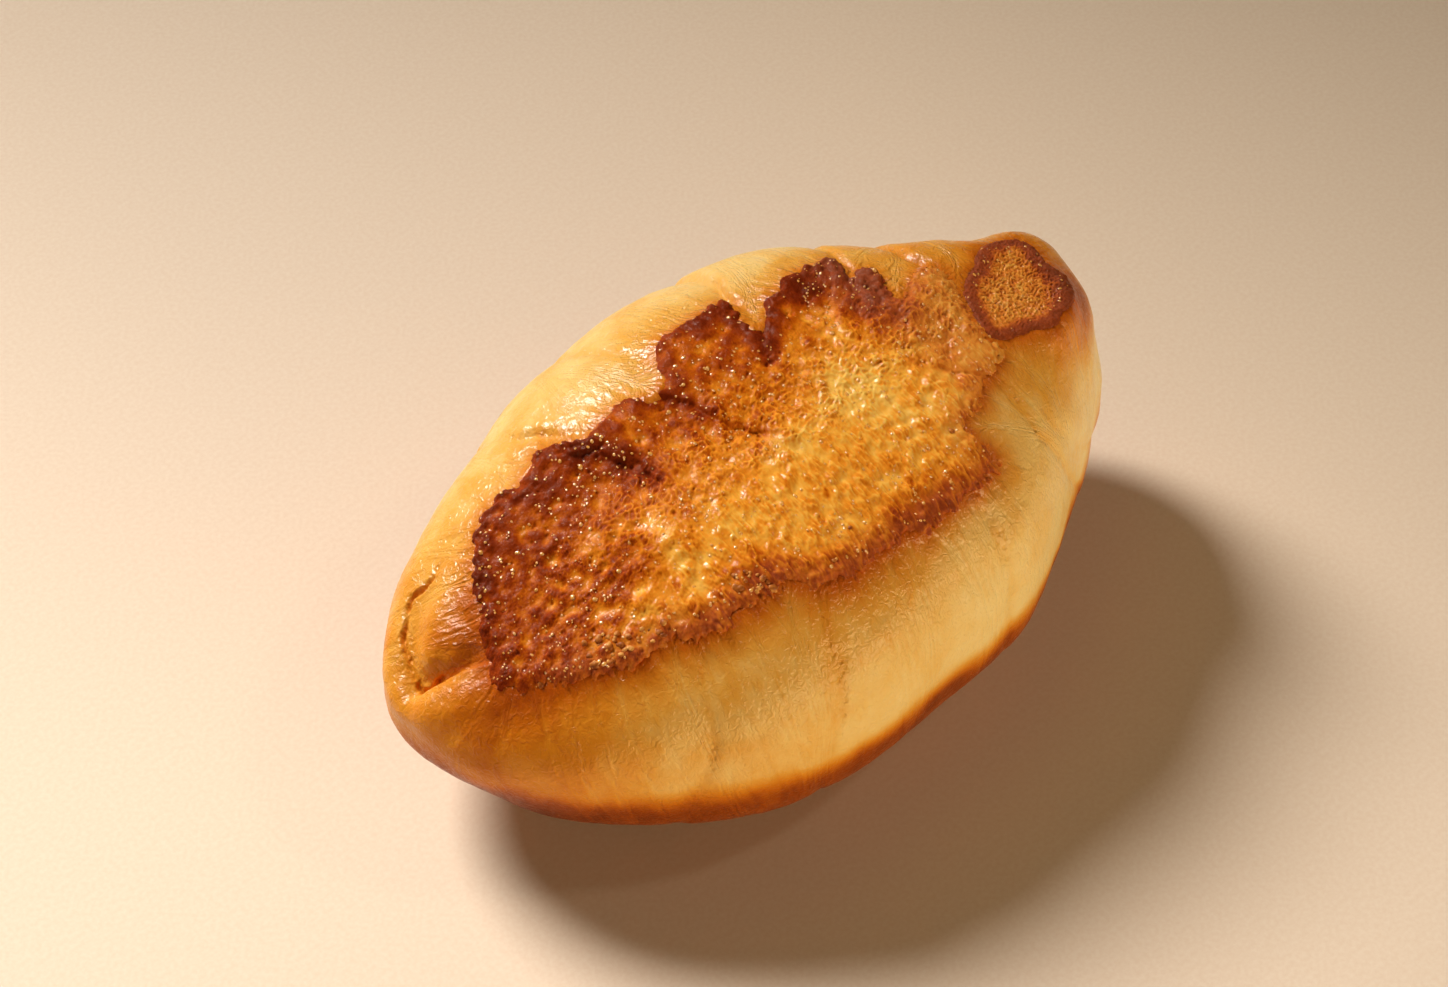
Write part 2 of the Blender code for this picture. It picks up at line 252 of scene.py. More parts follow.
# %% The edges of the crust: X, Y, and how much of a lip it has there
BASE_EDGE = (
    (-49.7, -1.7, 0.4), (-48.7, 0.3, 0.5), (-48.0, 1.2, 0.6), (-46.7, 3.1, 0.6),
    (-45.4, 5.6, 0.6), (-44.5, 7.0, 0.6), (-43.2, 8.0, 0.6), (-42.4, 9.3, 0.7),
    (-42.1, 10.5, 0.8), (-40.9, 11.3, 0.8), (-40.0, 11.2, 0.8), (-39.2, 12.9, 0.6),
    (-37.9, 13.6, 0.6), (-36.6, 14.7, 0.5), (-35.2, 14.5, 0.5), (-34.1, 14.6, 0.5),
    (-32.6, 14.0, 0.5), (-31.2, 13.3, 0.4), (-30.4, 14.0, 0.3), (-29.0, 14.6, 0.4),
    (-28.0, 14.6, 0.6), (-26.7, 15.4, 0.8), (-25.8, 15.3, 0.9), (-24.4, 14.4, 0.9),
    (-23.0, 13.2, 0.9), (-21.9, 12.3, 0.8), (-21.0, 11.3, 0.7), (-20.1, 11.3, 0.5),
    (-19.0, 11.5, 0.4), (-18.1, 11.5, 0.3), (-17.1, 12.1, 0.2), (-15.8, 12.3, 0.2),
    (-14.2, 12.0, 0.2), (-12.7, 11.3, 0.2), (-11.4, 10.0, 0.2), (-9.6, 10.0, 0.2),
    (-8.0, 11.2, 0.2), (-6.9, 12.9, 0.2), (-6.0, 14.4, 0.3), (-4.9, 16.1, 0.5),
    (-3.3, 16.6, 0.6), (-1.8, 16.7, 0.6), (0.2, 16.6, 0.6), (2.4, 16.5, 0.7),
    (4.7, 16.9, 0.9), (7.2, 17.2, 1.0), (8.1, 15.9, 1.0), (8.0, 13.5, 0.9),
    (6.9, 11.1, 0.7), (6.9, 9.5, 0.5), (7.6, 8.7, 0.4), (9.4, 9.5, 0.6),
    (11.3, 11.3, 0.8), (13.1, 12.3, 0.9), (14.8, 12.9, 0.9), (17.9, 13.8, 0.9),
    (20.6, 13.7, 0.9), (23.0, 13.2, 1.0), (24.6, 12.9, 1.0), (24.6, 10.9, 1.0),
    (23.7, 8.6, 0.8), (23.7, 7.5, 0.6), (24.9, 8.0, 0.8), (26.3, 7.8, 0.9),
    (26.8, 6.3, 0.9), (26.2, 4.6, 0.8), (25.3, 2.3, 0.5), (24.8, 0.6, 0.3),
    (25.4, 0.1, 0.2), (27.2, 0.7, 0.1), (29.6, 2.1, 0.0), (32.4, 2.5, 0.0),
    (34.7, 2.2, 0.0), (34.7, 0.4, 0.1), (33.9, -1.3, 0.1), (33.9, -2.7, 0.1),
    (33.2, -4.3, 0.1), (32.2, -6.7, 0.1), (31.3, -9.0, 0.1), (30.9, -11.0, 0.1),
    (30.9, -12.7, 0.1), (30.6, -14.2, 0.0), (29.3, -15.3, 0.0), (26.8, -16.2, 0.0),
    (24.7, -17.2, 0.0), (23.2, -18.3, 0.0), (21.1, -18.6, 0.1), (19.0, -19.2, 0.1),
    (18.1, -20.7, 0.2), (18.2, -22.2, 0.3), (19.2, -23.4, 0.3), (19.4, -24.6, 0.4),
    (18.1, -25.7, 0.4), (15.6, -26.5, 0.3), (13.2, -26.9, 0.3), (11.4, -26.9, 0.3),
    (9.5, -27.0, 0.3), (7.0, -27.0, 0.4), (5.1, -26.8, 0.4), (3.9, -27.3, 0.4),
    (2.4, -27.0, 0.4), (1.0, -26.5, 0.4), (-0.5, -26.6, 0.4), (-2.4, -26.7, 0.4),
    (-4.0, -26.6, 0.4), (-6.0, -26.4, 0.4), (-7.8, -26.6, 0.4), (-9.4, -26.6, 0.4),
    (-11.2, -26.3, 0.4), (-13.5, -25.4, 0.4), (-15.2, -24.4, 0.4), (-16.4, -23.0, 0.4),
    (-17.4, -22.3, 0.4), (-18.2, -22.6, 0.4), (-19.7, -22.3, 0.4), (-21.0, -22.0, 0.4),
    (-21.9, -22.5, 0.4), (-23.4, -21.9, 0.3), (-25.0, -21.7, 0.3), (-26.8, -21.3, 0.3),
    (-28.4, -20.8, 0.4), (-30.2, -20.0, 0.4), (-31.5, -19.3, 0.4), (-31.9, -18.1, 0.3),
    (-33.0, -17.9, 0.2), (-34.1, -17.7, 0.2), (-35.3, -17.5, 0.2), (-36.6, -17.2, 0.2),
    (-38.2, -16.5, 0.2), (-39.7, -15.3, 0.3), (-41.2, -14.5, 0.3), (-42.8, -13.1, 0.3),
    (-44.3, -11.8, 0.3), (-45.3, -10.7, 0.2), (-46.6, -9.9, 0.2), (-47.9, -8.7, 0.2),
    (-49.2, -7.7, 0.3), (-49.9, -6.2, 0.3), (-50.4, -4.8, 0.3), (-50.3, -3.5, 0.3),
)
DISC_EDGE = (
    (47.8, 0.8, 0.5), (45.5, 1.6, 0.5), (42.9, 1.6, 0.4), (40.5, 0.5, 0.4),
    (38.9, -0.7, 0.4), (37.0, -1.3, 0.3), (35.1, -2.5, 0.3), (33.5, -4.2, 0.3),
    (32.6, -6.1, 0.3), (31.4, -8.6, 0.3), (31.0, -10.5, 0.3), (31.3, -11.9, 0.2),
    (32.5, -12.7, 0.2), (34.5, -13.1, 0.2), (36.2, -13.5, 0.2), (37.8, -13.9, 0.3),
    (39.3, -14.6, 0.3), (41.1, -14.8, 0.4), (43.0, -14.0, 0.4), (45.3, -13.3, 0.5),
    (47.6, -11.9, 0.6), (49.0, -10.0, 0.6), (49.3, -8.1, 0.7), (48.8, -6.6, 0.7),
    (48.6, -5.0, 0.7), (49.4, -3.1, 0.7), (49.5, -1.5, 0.6), (48.8, -0.1, 0.6),
)
BASE_LOW, BASE_HIGH = (-52.5, -29.5), (37.0, 19.5)
DISC_LOW, DISC_HIGH = (29.0, -17.0), (51.5, 4.0)


def smooth_edge(edge, steps=3):
    """The closed line, rounded between its points with a spline."""
    edge = np.array(edge)
    before, after = np.roll(edge, 1, axis=0), np.roll(edge, -1, axis=0)
    beyond = np.roll(edge, -2, axis=0)
    pieces = []
    for t in np.arange(steps) / steps:
        bend = 2.0 * before - 5.0 * edge + 4.0 * after - beyond
        twist = 3.0 * (edge - after) + beyond - before
        pieces.append(edge + 0.5 * t * (after - before + t * (bend + t * twist)))
    return np.stack(pieces, axis=1).reshape(-1, 3)


def away_from(path, x, y):
    """Distance from a path, which side of it each place is on, and the path's value there."""
    nearest = np.full(x.shape, 1e3)
    side = np.zeros(x.shape)
    value = np.zeros(x.shape)
    for start, end in zip(np.array(path[:-1]), np.array(path[1:])):
        along = end - start
        from_x, from_y = x - start[0], y - start[1]
        t = (from_x * along[0] + from_y * along[1]) / (along[0] ** 2 + along[1] ** 2)
        t = np.clip(t, 0.0, 1.0)
        away = np.hypot(from_x - t * along[0], from_y - t * along[1])
        closer = away < nearest
        side = np.where(closer, from_y * along[0] - from_x * along[1], side)
        value = np.where(closer, start[-1] + t * along[-1], value)
        nearest = np.minimum(nearest, away)
    return nearest, side, value


def inside_edge(edge, x, y):
    """Distance inside a closed line, less than 0 outside it, and the lip of the line there."""
    line = smooth_edge(edge)
    line = np.vstack([line, line[:1]])
    nearest, _, lip = away_from(line, x, y)
    within = np.zeros(x.shape, bool)
    for (x0, y0, _), (x1, y1, _) in zip(line[:-1], line[1:]):
        if y0 != y1:
            crossing = x0 + (x1 - x0) * (y - y0) / (y1 - y0)
            within ^= ((y0 > y) != (y1 > y)) & (x < crossing)
    return np.where(within, nearest, -nearest), lip


def inside_base(points):
    """How far these points are inside the edge of the base, seen from above."""
    return inside_edge(BASE_EDGE, points[:, 0], points[:, 1])[0]


# %% [markdown]
# ## The skin
#
# The skin is the solid itself, made fine enough to sculpt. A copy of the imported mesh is
# merged and subdivided, which rounds its flat facets, and a voxel remesh turns it into an
# even net of squares 0.6 mm wide. Then its points are moved, as with a sculpting brush:
# creases where one wrap laps over the next, the crack of the fold, and soft unevenness.
# Under the fried crust it is smoothed and sunk, because the crust is a piece of its own.

# %% The skin's net
SKIN_NET = 0.62

select_only(frame["nodes"]["bread"])
bpy.ops.object.duplicate()
skin = bpy.context.object
skin.name = "buttered_skin"
skin.parent = None
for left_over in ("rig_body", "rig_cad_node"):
    del skin[left_over]
with edit_mode():
    bpy.ops.mesh.select_all(action="SELECT")
    bpy.ops.mesh.remove_doubles(threshold=0.01 * MM)
    bpy.ops.mesh.tris_convert_to_quads()
apply_modifier(skin, "SUBSURF", levels=2, render_levels=2)
apply_modifier(skin, "REMESH", mode="VOXEL", voxel_size=SKIN_NET * MM)
apply_modifier(skin, "SMOOTH", factor=0.5, iterations=4)
print("skin:", triangles_of(skin), "triangles")

# %% Smooth the skin under the fried base
SMOOTHED_MARGIN = 4.0
SMOOTHED_ABOVE = 24.0
SMOOTHING_ROUNDS = 60

skin_points = points_of(skin)
on_top = smoothstep((skin_points[:, 2] - SMOOTHED_ABOVE) / SMOOTHED_MARGIN)
skin_inside = inside_base(skin_points)
group = skin.vertex_groups.new(name="under_crust")
under_crust = on_top * smoothstep((skin_inside + SMOOTHED_MARGIN) / SMOOTHED_MARGIN)
for step in range(1, 11):
    chosen = np.nonzero(np.round(under_crust * 10.0) == step)[0]
    group.add(chosen.tolist(), step / 10.0, "REPLACE")
apply_modifier(
    skin, "SMOOTH", factor=0.5, iterations=SMOOTHING_ROUNDS, vertex_group="under_crust"
)
skin.vertex_groups.clear()

# %% [markdown]
# At the near tip the outer wrap laps round the roll's end like a C. Its mouth is a thin
# crack that ends in a small pocket. The crack is given by points along it and its depth.
# The net is made finer there, and in a band round the crust, where the skin is wrinkled.

# %% The fold at the tip, and a finer net where it is needed
FOLD = (
    (-44.3, 14.9, 33.1, 0.1),
    (-45.9, 14.5, 32.1, 0.6),
    (-47.2, 14.9, 31.1, 0.7),
    (-48.3, 15.2, 30.2, 0.7),
    (-49.5, 14.7, 29.5, 0.6),
    (-51.3, 13.2, 28.5, 0.6),
    (-52.6, 12.0, 27.7, 0.6),
    (-53.5, 10.9, 27.0, 0.5),
    (-54.0, 9.4, 26.6, 0.4),
    (-54.4, 8.3, 26.3, 0.3),
    (-54.9, 7.0, 25.9, 0.4),
    (-55.2, 5.6, 25.5, 0.8),
    (-54.6, 4.5, 25.8, 1.2),
    (-53.7, 4.0, 27.0, 0.8),
    (-52.6, 3.2, 28.4, 0.4),
)
FOLD_WIDTH = 0.40
FINE_BAND = (-4.5, 0.6)
FINE_ABOVE = 27.0
FOLD_FINE, FOLD_FINEST = 3.0, 1.5


def nearest_on(piece, point):
    """The place of the piece's surface that is nearest to this point."""
    _, spot, _, _ = piece.closest_point_on_mesh(Vector(point) * MM)
    return np.array(spot) / MM


def distance_to_line(points, line):
    """Distance from a line of points in space, and its last number at the nearest place."""
    nearest = np.full(len(points), 1e3)
    value = np.zeros(len(points))
    for start, end in zip(line[:-1], line[1:]):
        along = end[:3] - start[:3]
        t = np.clip(((points - start[:3]) @ along) / (along @ along), 0.0, 1.0)
        away = np.linalg.norm(points - (start[:3] + t[:, None] * along), axis=1)
        value = np.where(away < nearest, start[3] + (end[3] - start[3]) * t, value)
        nearest = np.minimum(nearest, away)
    return nearest, value


fold = []
for start, end in zip(np.array(FOLD[:-1]), np.array(FOLD[1:])):
    for t in (0.0, 0.5):
        stop = start + t * (end - start)
        fold.append([*nearest_on(skin, stop[:3]), stop[3]])
fold = np.array(fold)

centres = face_centres(skin)
band = inside_base(centres)
in_band = (band > FINE_BAND[0]) & (band < FINE_BAND[1]) & (centres[:, 2] > FINE_ABOVE)
refine(skin, in_band | (distance_to_line(centres, fold)[0] < FOLD_FINE))
refine(skin, distance_to_line(face_centres(skin), fold)[0] < FOLD_FINEST)
print("skin:", triangles_of(skin), "triangles")

# %% [markdown]
# Each point of the skin needs to know how far it is from the crust, and which point of the
# crust's edge is the nearest: the fine wrinkles of the skin run straight out from there.

# %% Distance from the crust's edge
EDGE_GRID = 0.4
EDGE_REACH = 0.3
CRUST_TOP = 30.0


def skin_height(x, y):
    """Height of the skin under these places, found by a ray from above."""
    found = []
    for place in zip(x, y):
        above = Vector((*place, ABOVE_ALL)) * MM
        hit, spot, _, _ = skin.ray_cast(above, Vector((0.0, 0.0, -1.0)))
        found.append(spot.z / MM if hit else 0.0)
    return np.array(found)


grid_x, grid_y = np.meshgrid(
    np.arange(BASE_LOW[0], DISC_HIGH[0], EDGE_GRID),
    np.arange(BASE_LOW[1], BASE_HIGH[1], EDGE_GRID),
)
covered_by_base, _ = inside_edge(BASE_EDGE, grid_x, grid_y)
covered_by_disc, _ = inside_edge(DISC_EDGE, grid_x, grid_y)
covered = np.maximum(covered_by_base, covered_by_disc)
near_edge = np.abs(covered) < EDGE_REACH
edge_points = np.stack([grid_x[near_edge], grid_y[near_edge]], axis=1)
edge_points = np.column_stack([edge_points, skin_height(*edge_points.T)])
edge_tree = KDTree(len(edge_points))
for index, place in enumerate(edge_points):
    edge_tree.insert(place, index)
edge_tree.balance()

skin_points = points_of(skin)
nearest = [edge_tree.find(place) for place in skin_points]
edge_root = spread(skin, edge_points[[found[1] for found in nearest]], 12)
edge_away = np.array([found[2] for found in nearest])
skin_inside = inside_base(skin_points)
skin_in_disc, _ = inside_edge(DISC_EDGE, skin_points[:, 0], skin_points[:, 1])
skin_covered = np.maximum(skin_inside, skin_in_disc)
under = (skin_covered > 0.0) & (skin_points[:, 2] > CRUST_TOP)
edge_away = np.where(under, -edge_away, edge_away)
print("crust's edge:", len(edge_points), "places")

# %% [markdown]
# The wraps' seams run round the loaf like the edges of a rolled carpet. Each is given by the
# X at which it crosses the crust's far edge, the shoulder, the far side, the bottom, the near
# side and the crust's near edge.

# %% Seams between the wraps
SEAMS = (
    (-17.5, -24.9, -29.0, -34.3, -37.8, -32.3),
    (-4.5, -8.6, -13.0, -16.3, -21.0, -14.8),
    (7.9, 10.8, 13.5, 13.2, 13.7, 13.5),
    (24.9, 28.5, 36.7, 38.7, 39.2, 29.2),
    (33.2, 37.2, 45.2, 47.7, 48.7, 32.2),
)
SEAM_ANGLES = (-230.0, -180.0, -90.0, 0.0, 60.0, 80.0, 130.0)
LOAF_MIDDLE = (0.0, 18.0)
LOAF_ASPECT = 0.62
SEAM_WIDTH = 0.80
SEAM_DEPTH_FAR = 0.85
SEAM_DEPTH_NEAR = 0.25
SEAM_STEP = 0.45
SEAM_STEP_LENGTH = 3.0


def around_loaf(points):
    """The angle round the loaf, in degrees: 0 is the far side, 90 the top."""
    across = (points[:, 1] - LOAF_MIDDLE[0]) * LOAF_ASPECT
    degrees = np.degrees(np.arctan2(points[:, 2] - LOAF_MIDDLE[1], across))
    return np.where(degrees > SEAM_ANGLES[-1], degrees - 360.0, degrees)


def seam_relief(points):
    """Creases between wraps, and how near each point is to one."""
    turned = around_loaf(points)
    far_share = smoothstep((points[:, 1] + 8.0) / 20.0)
    depth = SEAM_DEPTH_NEAR + (SEAM_DEPTH_FAR - SEAM_DEPTH_NEAR) * far_share
    wander = 0.4 * lumps(points, 7.0, 11) + 0.35 * lumps(points, 2.2, 12)
    relief = np.zeros(len(points))
    closeness = np.zeros(len(points))
    for number, crossings in enumerate(SEAMS):
        way_round = (*crossings[::-1], crossings[-1])
        away = points[:, 0] + wander - np.interp(turned, SEAM_ANGLES, way_round)
        strength = 0.75 - 0.15 * far_share + 0.45 * lumps(points, 9.0, 20 + number)
        crease = np.exp(-(away / SEAM_WIDTH) ** 2)
        lap = np.exp(-np.abs(away) / SEAM_STEP_LENGTH) * np.tanh(away / 0.5)
        relief += strength * (SEAM_STEP * depth / SEAM_DEPTH_FAR * lap - depth * crease)
        closeness = np.maximum(closeness, crease * np.clip(strength, 0.0, None))
    return relief, closeness


# %% [markdown]
# The rest is sculpted with round brush strokes, and with noise: soft lumps everywhere, and
# near the crust short wrinkles that run straight out from it.

# %% Sculpt the skin
SUNK_UNDER_CRUST = 2.2
# Brush strokes: X, Y, Z, radius, height.
SKIN_SWELLS = (
    (-52.8, 4.7, 29.3, 1.0, -0.25),
    (-51.6, 5.0, 31.0, 1.2, -0.30),
    (-49.9, 5.1, 32.3, 1.3, -0.20),
    (-53.6, 7.2, 28.6, 2.0, 0.25),
)
# The lip of the outer wrap, in front of the pocket: X, Y, how far it is raised.
LIP = (
    (-57.6, 5.6, 0.2),
    (-56.4, 4.6, 0.8),
    (-55.3, 3.7, 1.4),
    (-54.0, 2.9, 1.7),
    (-52.7, 2.0, 1.7),
    (-51.5, 1.0, 1.5),
    (-50.3, -0.4, 0.9),
    (-49.4, -1.8, 0.2),
)
LIP_SLOPE, LIP_FALL = 2.6, 0.5
LIP_ABOVE = 18.0


def lip_rise(points):
    """How far the lip lifts the skin: gently on its outer side, steeply on the inner."""
    away, side, height = away_from(LIP, points[:, 0], points[:, 1])
    rise = height * np.exp(-(away / np.where(side > 0.0, LIP_FALL, LIP_SLOPE)) ** 2)
    return np.where(points[:, 2] > LIP_ABOVE, rise, 0.0)


def strokes_at(points, strokes):
    """The sum of round, soft brush strokes."""
    total = np.zeros(len(points))
    for x, y, z, radius, height in strokes:
        away = np.linalg.norm(points - (x, y, z), axis=1)
        total += height * np.exp(-(away / radius) ** 2)
    return total


outward = normals_of(skin)
seam_shape, seam_closeness = seam_relief(skin_points)
ragged = np.column_stack([
    0.22 * lumps(skin_points, 1.8, 31 + axis) + 0.10 * lumps(skin_points, 0.7, 34 + axis)
    for axis in range(3)
])
fold_away, fold_depth = distance_to_line(skin_points + ragged, fold)
# The torn crack of the fold, with a raised lip and crumbly sides.
crack = fold_depth * np.exp(-(fold_away / FOLD_WIDTH) ** 2)
crack_lip = fold_depth * np.exp(-((fold_away - 0.8) / 0.6) ** 2)
crumbly = np.exp(-(fold_away / 1.1) ** 2) * lumps(skin_points, 0.5, 46)
# The wrinkles' noise is read at the nearest place of the crust's edge, and changes little
# on the way out from there, which draws it out into short lines.
clear_of_crust = smoothstep(edge_away / 1.5)
from_edge = np.clip(edge_away, 0.0, None)
streak_place = np.column_stack([edge_root[:, :2], 0.25 * from_edge])
wet = np.exp(-from_edge / 5.0)
wrinkles = 0.6 * lumps(streak_place, 0.9, 41) + 0.4 * lumps(streak_place, 0.5, 45)
relief = seam_shape * clear_of_crust - crack + 0.16 * crack_lip + 0.10 * crumbly
relief += strokes_at(skin_points, SKIN_SWELLS)
relief += 0.14 * lumps(skin_points, 8.0, 42) + 0.05 * lumps(skin_points, 3.0, 43)
relief += 0.15 * wrinkles * wet * clear_of_crust + 0.03 * lumps(skin_points, 1.4, 44)
relief -= SUNK_UNDER_CRUST * smoothstep(-edge_away / 3.0)
relief = np.where(skin_points[:, 2] < 1.0, np.minimum(relief, 0.0), relief)
sculpted = skin_points + outward * relief[:, None]
sculpted[:, 2] += lip_rise(skin_points)
move_points(skin, sculpted)
select_only(skin)
bpy.ops.object.shade_smooth()

# %% [markdown]
# How far the dough is baked is one number from 0, pale, to 1, brown. The skin is palest on its
# sides, deep amber next to the crust, where hot butter ran over it, and brown on the dome below,
# which faced the oven. On the near side the dome is made browner still, as painted shade, and the
# crack, the seams and the bottom edge carry some painted shade too.

# %% How far the skin is baked
# Browner and paler places: X, Y, Z, radius, change of bake.
SKIN_TINTS = (
    (-49.0, 3.2, 33.0, 2.6, 0.38),
    (-46.6, 7.2, 34.5, 2.8, 0.36),
    (-51.0, 6.6, 31.0, 3.0, 0.28),
    (-49.6, -1.0, 31.8, 1.6, 0.20),
    (-54.2, 7.5, 28.0, 1.8, -0.08),
    # A paler place on the lip: a painted highlight.
    (-51.8, 0.4, 29.8, 1.8, -0.06),
    (-52.5, -7.0, 29.0, 2.8, 0.26),
    (-56.0, -8.0, 22.8, 4.2, 0.20),
    (-54.5, -3.5, 28.4, 2.4, 0.10),
    (51.5, -10.0, 37.5, 5.0, 0.75),
    (45.5, -16.0, 36.4, 3.0, 0.14),
    (30.0, -18.5, 41.0, 4.0, -0.06),
    # Along the near bottom edge: partly the dough's lap, partly painted shade where the bread
    # meets the paper.
    (-8.0, -36.6, 14.0, 4.5, 0.40),
    (1.0, -36.0, 14.5, 4.5, 0.34),
    (11.0, -35.5, 14.5, 4.5, 0.28),
)

MOST_BAKED = 0.95

x, y, z = skin_points.T
near_share = 1.0 - smoothstep((y + 12.0) / 24.0)
far_side = 1.0 - near_share
amber = np.exp(-from_edge / (2.4 + 2.2 * near_share))
folded_end = smoothstep((-38.0 - x) / 14.0) * smoothstep((6.0 - y) / 8.0)
tips = smoothstep((-40.0 - x) / 12.0)
knob_end = smoothstep((x - 24.0) / 12.0) * smoothstep((z - 30.0) / 10.0)
dome_top = 21.8 + 1.6 * far_side + (0.8 + 0.6 * far_side) * lumps(skin_points, 7.0, 51)
dome = smoothstep((dome_top - z) / (7.6 + 4.8 * far_side))
skin_bake = saturate(
    # The palest skin, a little more golden on the far side.
    0.12 + 0.08 * far_side
    # Amber next to the crust, deepest at the near left.
    + 0.42 * amber + 0.16 * amber * near_share * smoothstep((12.0 - x) / 12.0)
    # The near side: more baked to the left, paler to the right.
    + 0.06 * near_share * smoothstep((-18.0 - x) / 20.0)
    - 0.10 * near_share * smoothstep((x + 12.0) / 20.0)
    # The far side: more baked low down and to the left.
    + 0.15 * far_side * smoothstep((33.0 - z) / 9.0)
    + 0.05 * far_side * smoothstep((-30.0 - x) / 10.0)
    # The two ends and the dome. The dome is browner still on the near side: painted shade under
    # the bread.
    + 0.20 * folded_end + 0.14 * tips + 0.20 * knob_end + (0.92 + 0.30 * near_share) * dome
    # Single places, soft clouds, wrinkles, the crack and the seams. The crack and the seams are
    # darker: partly the dough's own colour, partly painted shade in the creases.
    + strokes_at(skin_points, SKIN_TINTS)
    + 0.05 * lumps(skin_points, 11.0, 52) + 0.03 * lumps(skin_points, 3.0, 53)
    + 0.09 * wrinkles * wet + 0.20 * crack + 0.10 * seam_closeness,
    MOST_BAKED,
)

# Next to the crust the skin is mixed toward orange: partly the butter's own colour, partly a
# painted glow of light shining through the thin dough. It is glossy there too, more so where it is
# pale.
glow = np.exp(-from_edge / 1.8) * (0.32 + 0.50 * near_share)
# Along the far side's seams the same orange is mixed in, as painted shade in the creases.
glow = np.maximum(glow, 0.10 * far_side * np.clip(seam_closeness, 0.0, 1.0))
buttered = (0.80 - 0.34 * near_share) * np.exp(-from_edge / 9.0)
gloss = (0.16 + buttered) * (1.0 - 0.60 * smoothstep((skin_bake - 0.42) / 0.25))
for name, values in (
    ("bake", skin_bake), ("gloss", gloss), ("glow", glow), ("wet", wet),
    ("streak_place", streak_place * MM), ("seam", np.clip(seam_closeness, 0.0, 1.0)),
):
    store(skin, name, values)
print("skin baked from", skin_bake.min().round(2), "to", skin_bake.max().round(2))

# %% [markdown]
# ## The fried crust
#
# The crust is a thin, brittle sheet of its own on the skin. It starts as a fine grid, laid
# on the skin with a Shrinkwrap, and its points are raised and sunk: a lip along its edge,
# creases where wraps overlap, foam-like ridges, blisters and pores. Faces outside the outline
# are deleted, and the open edge is extruded down into the skin and filled, which closes it.

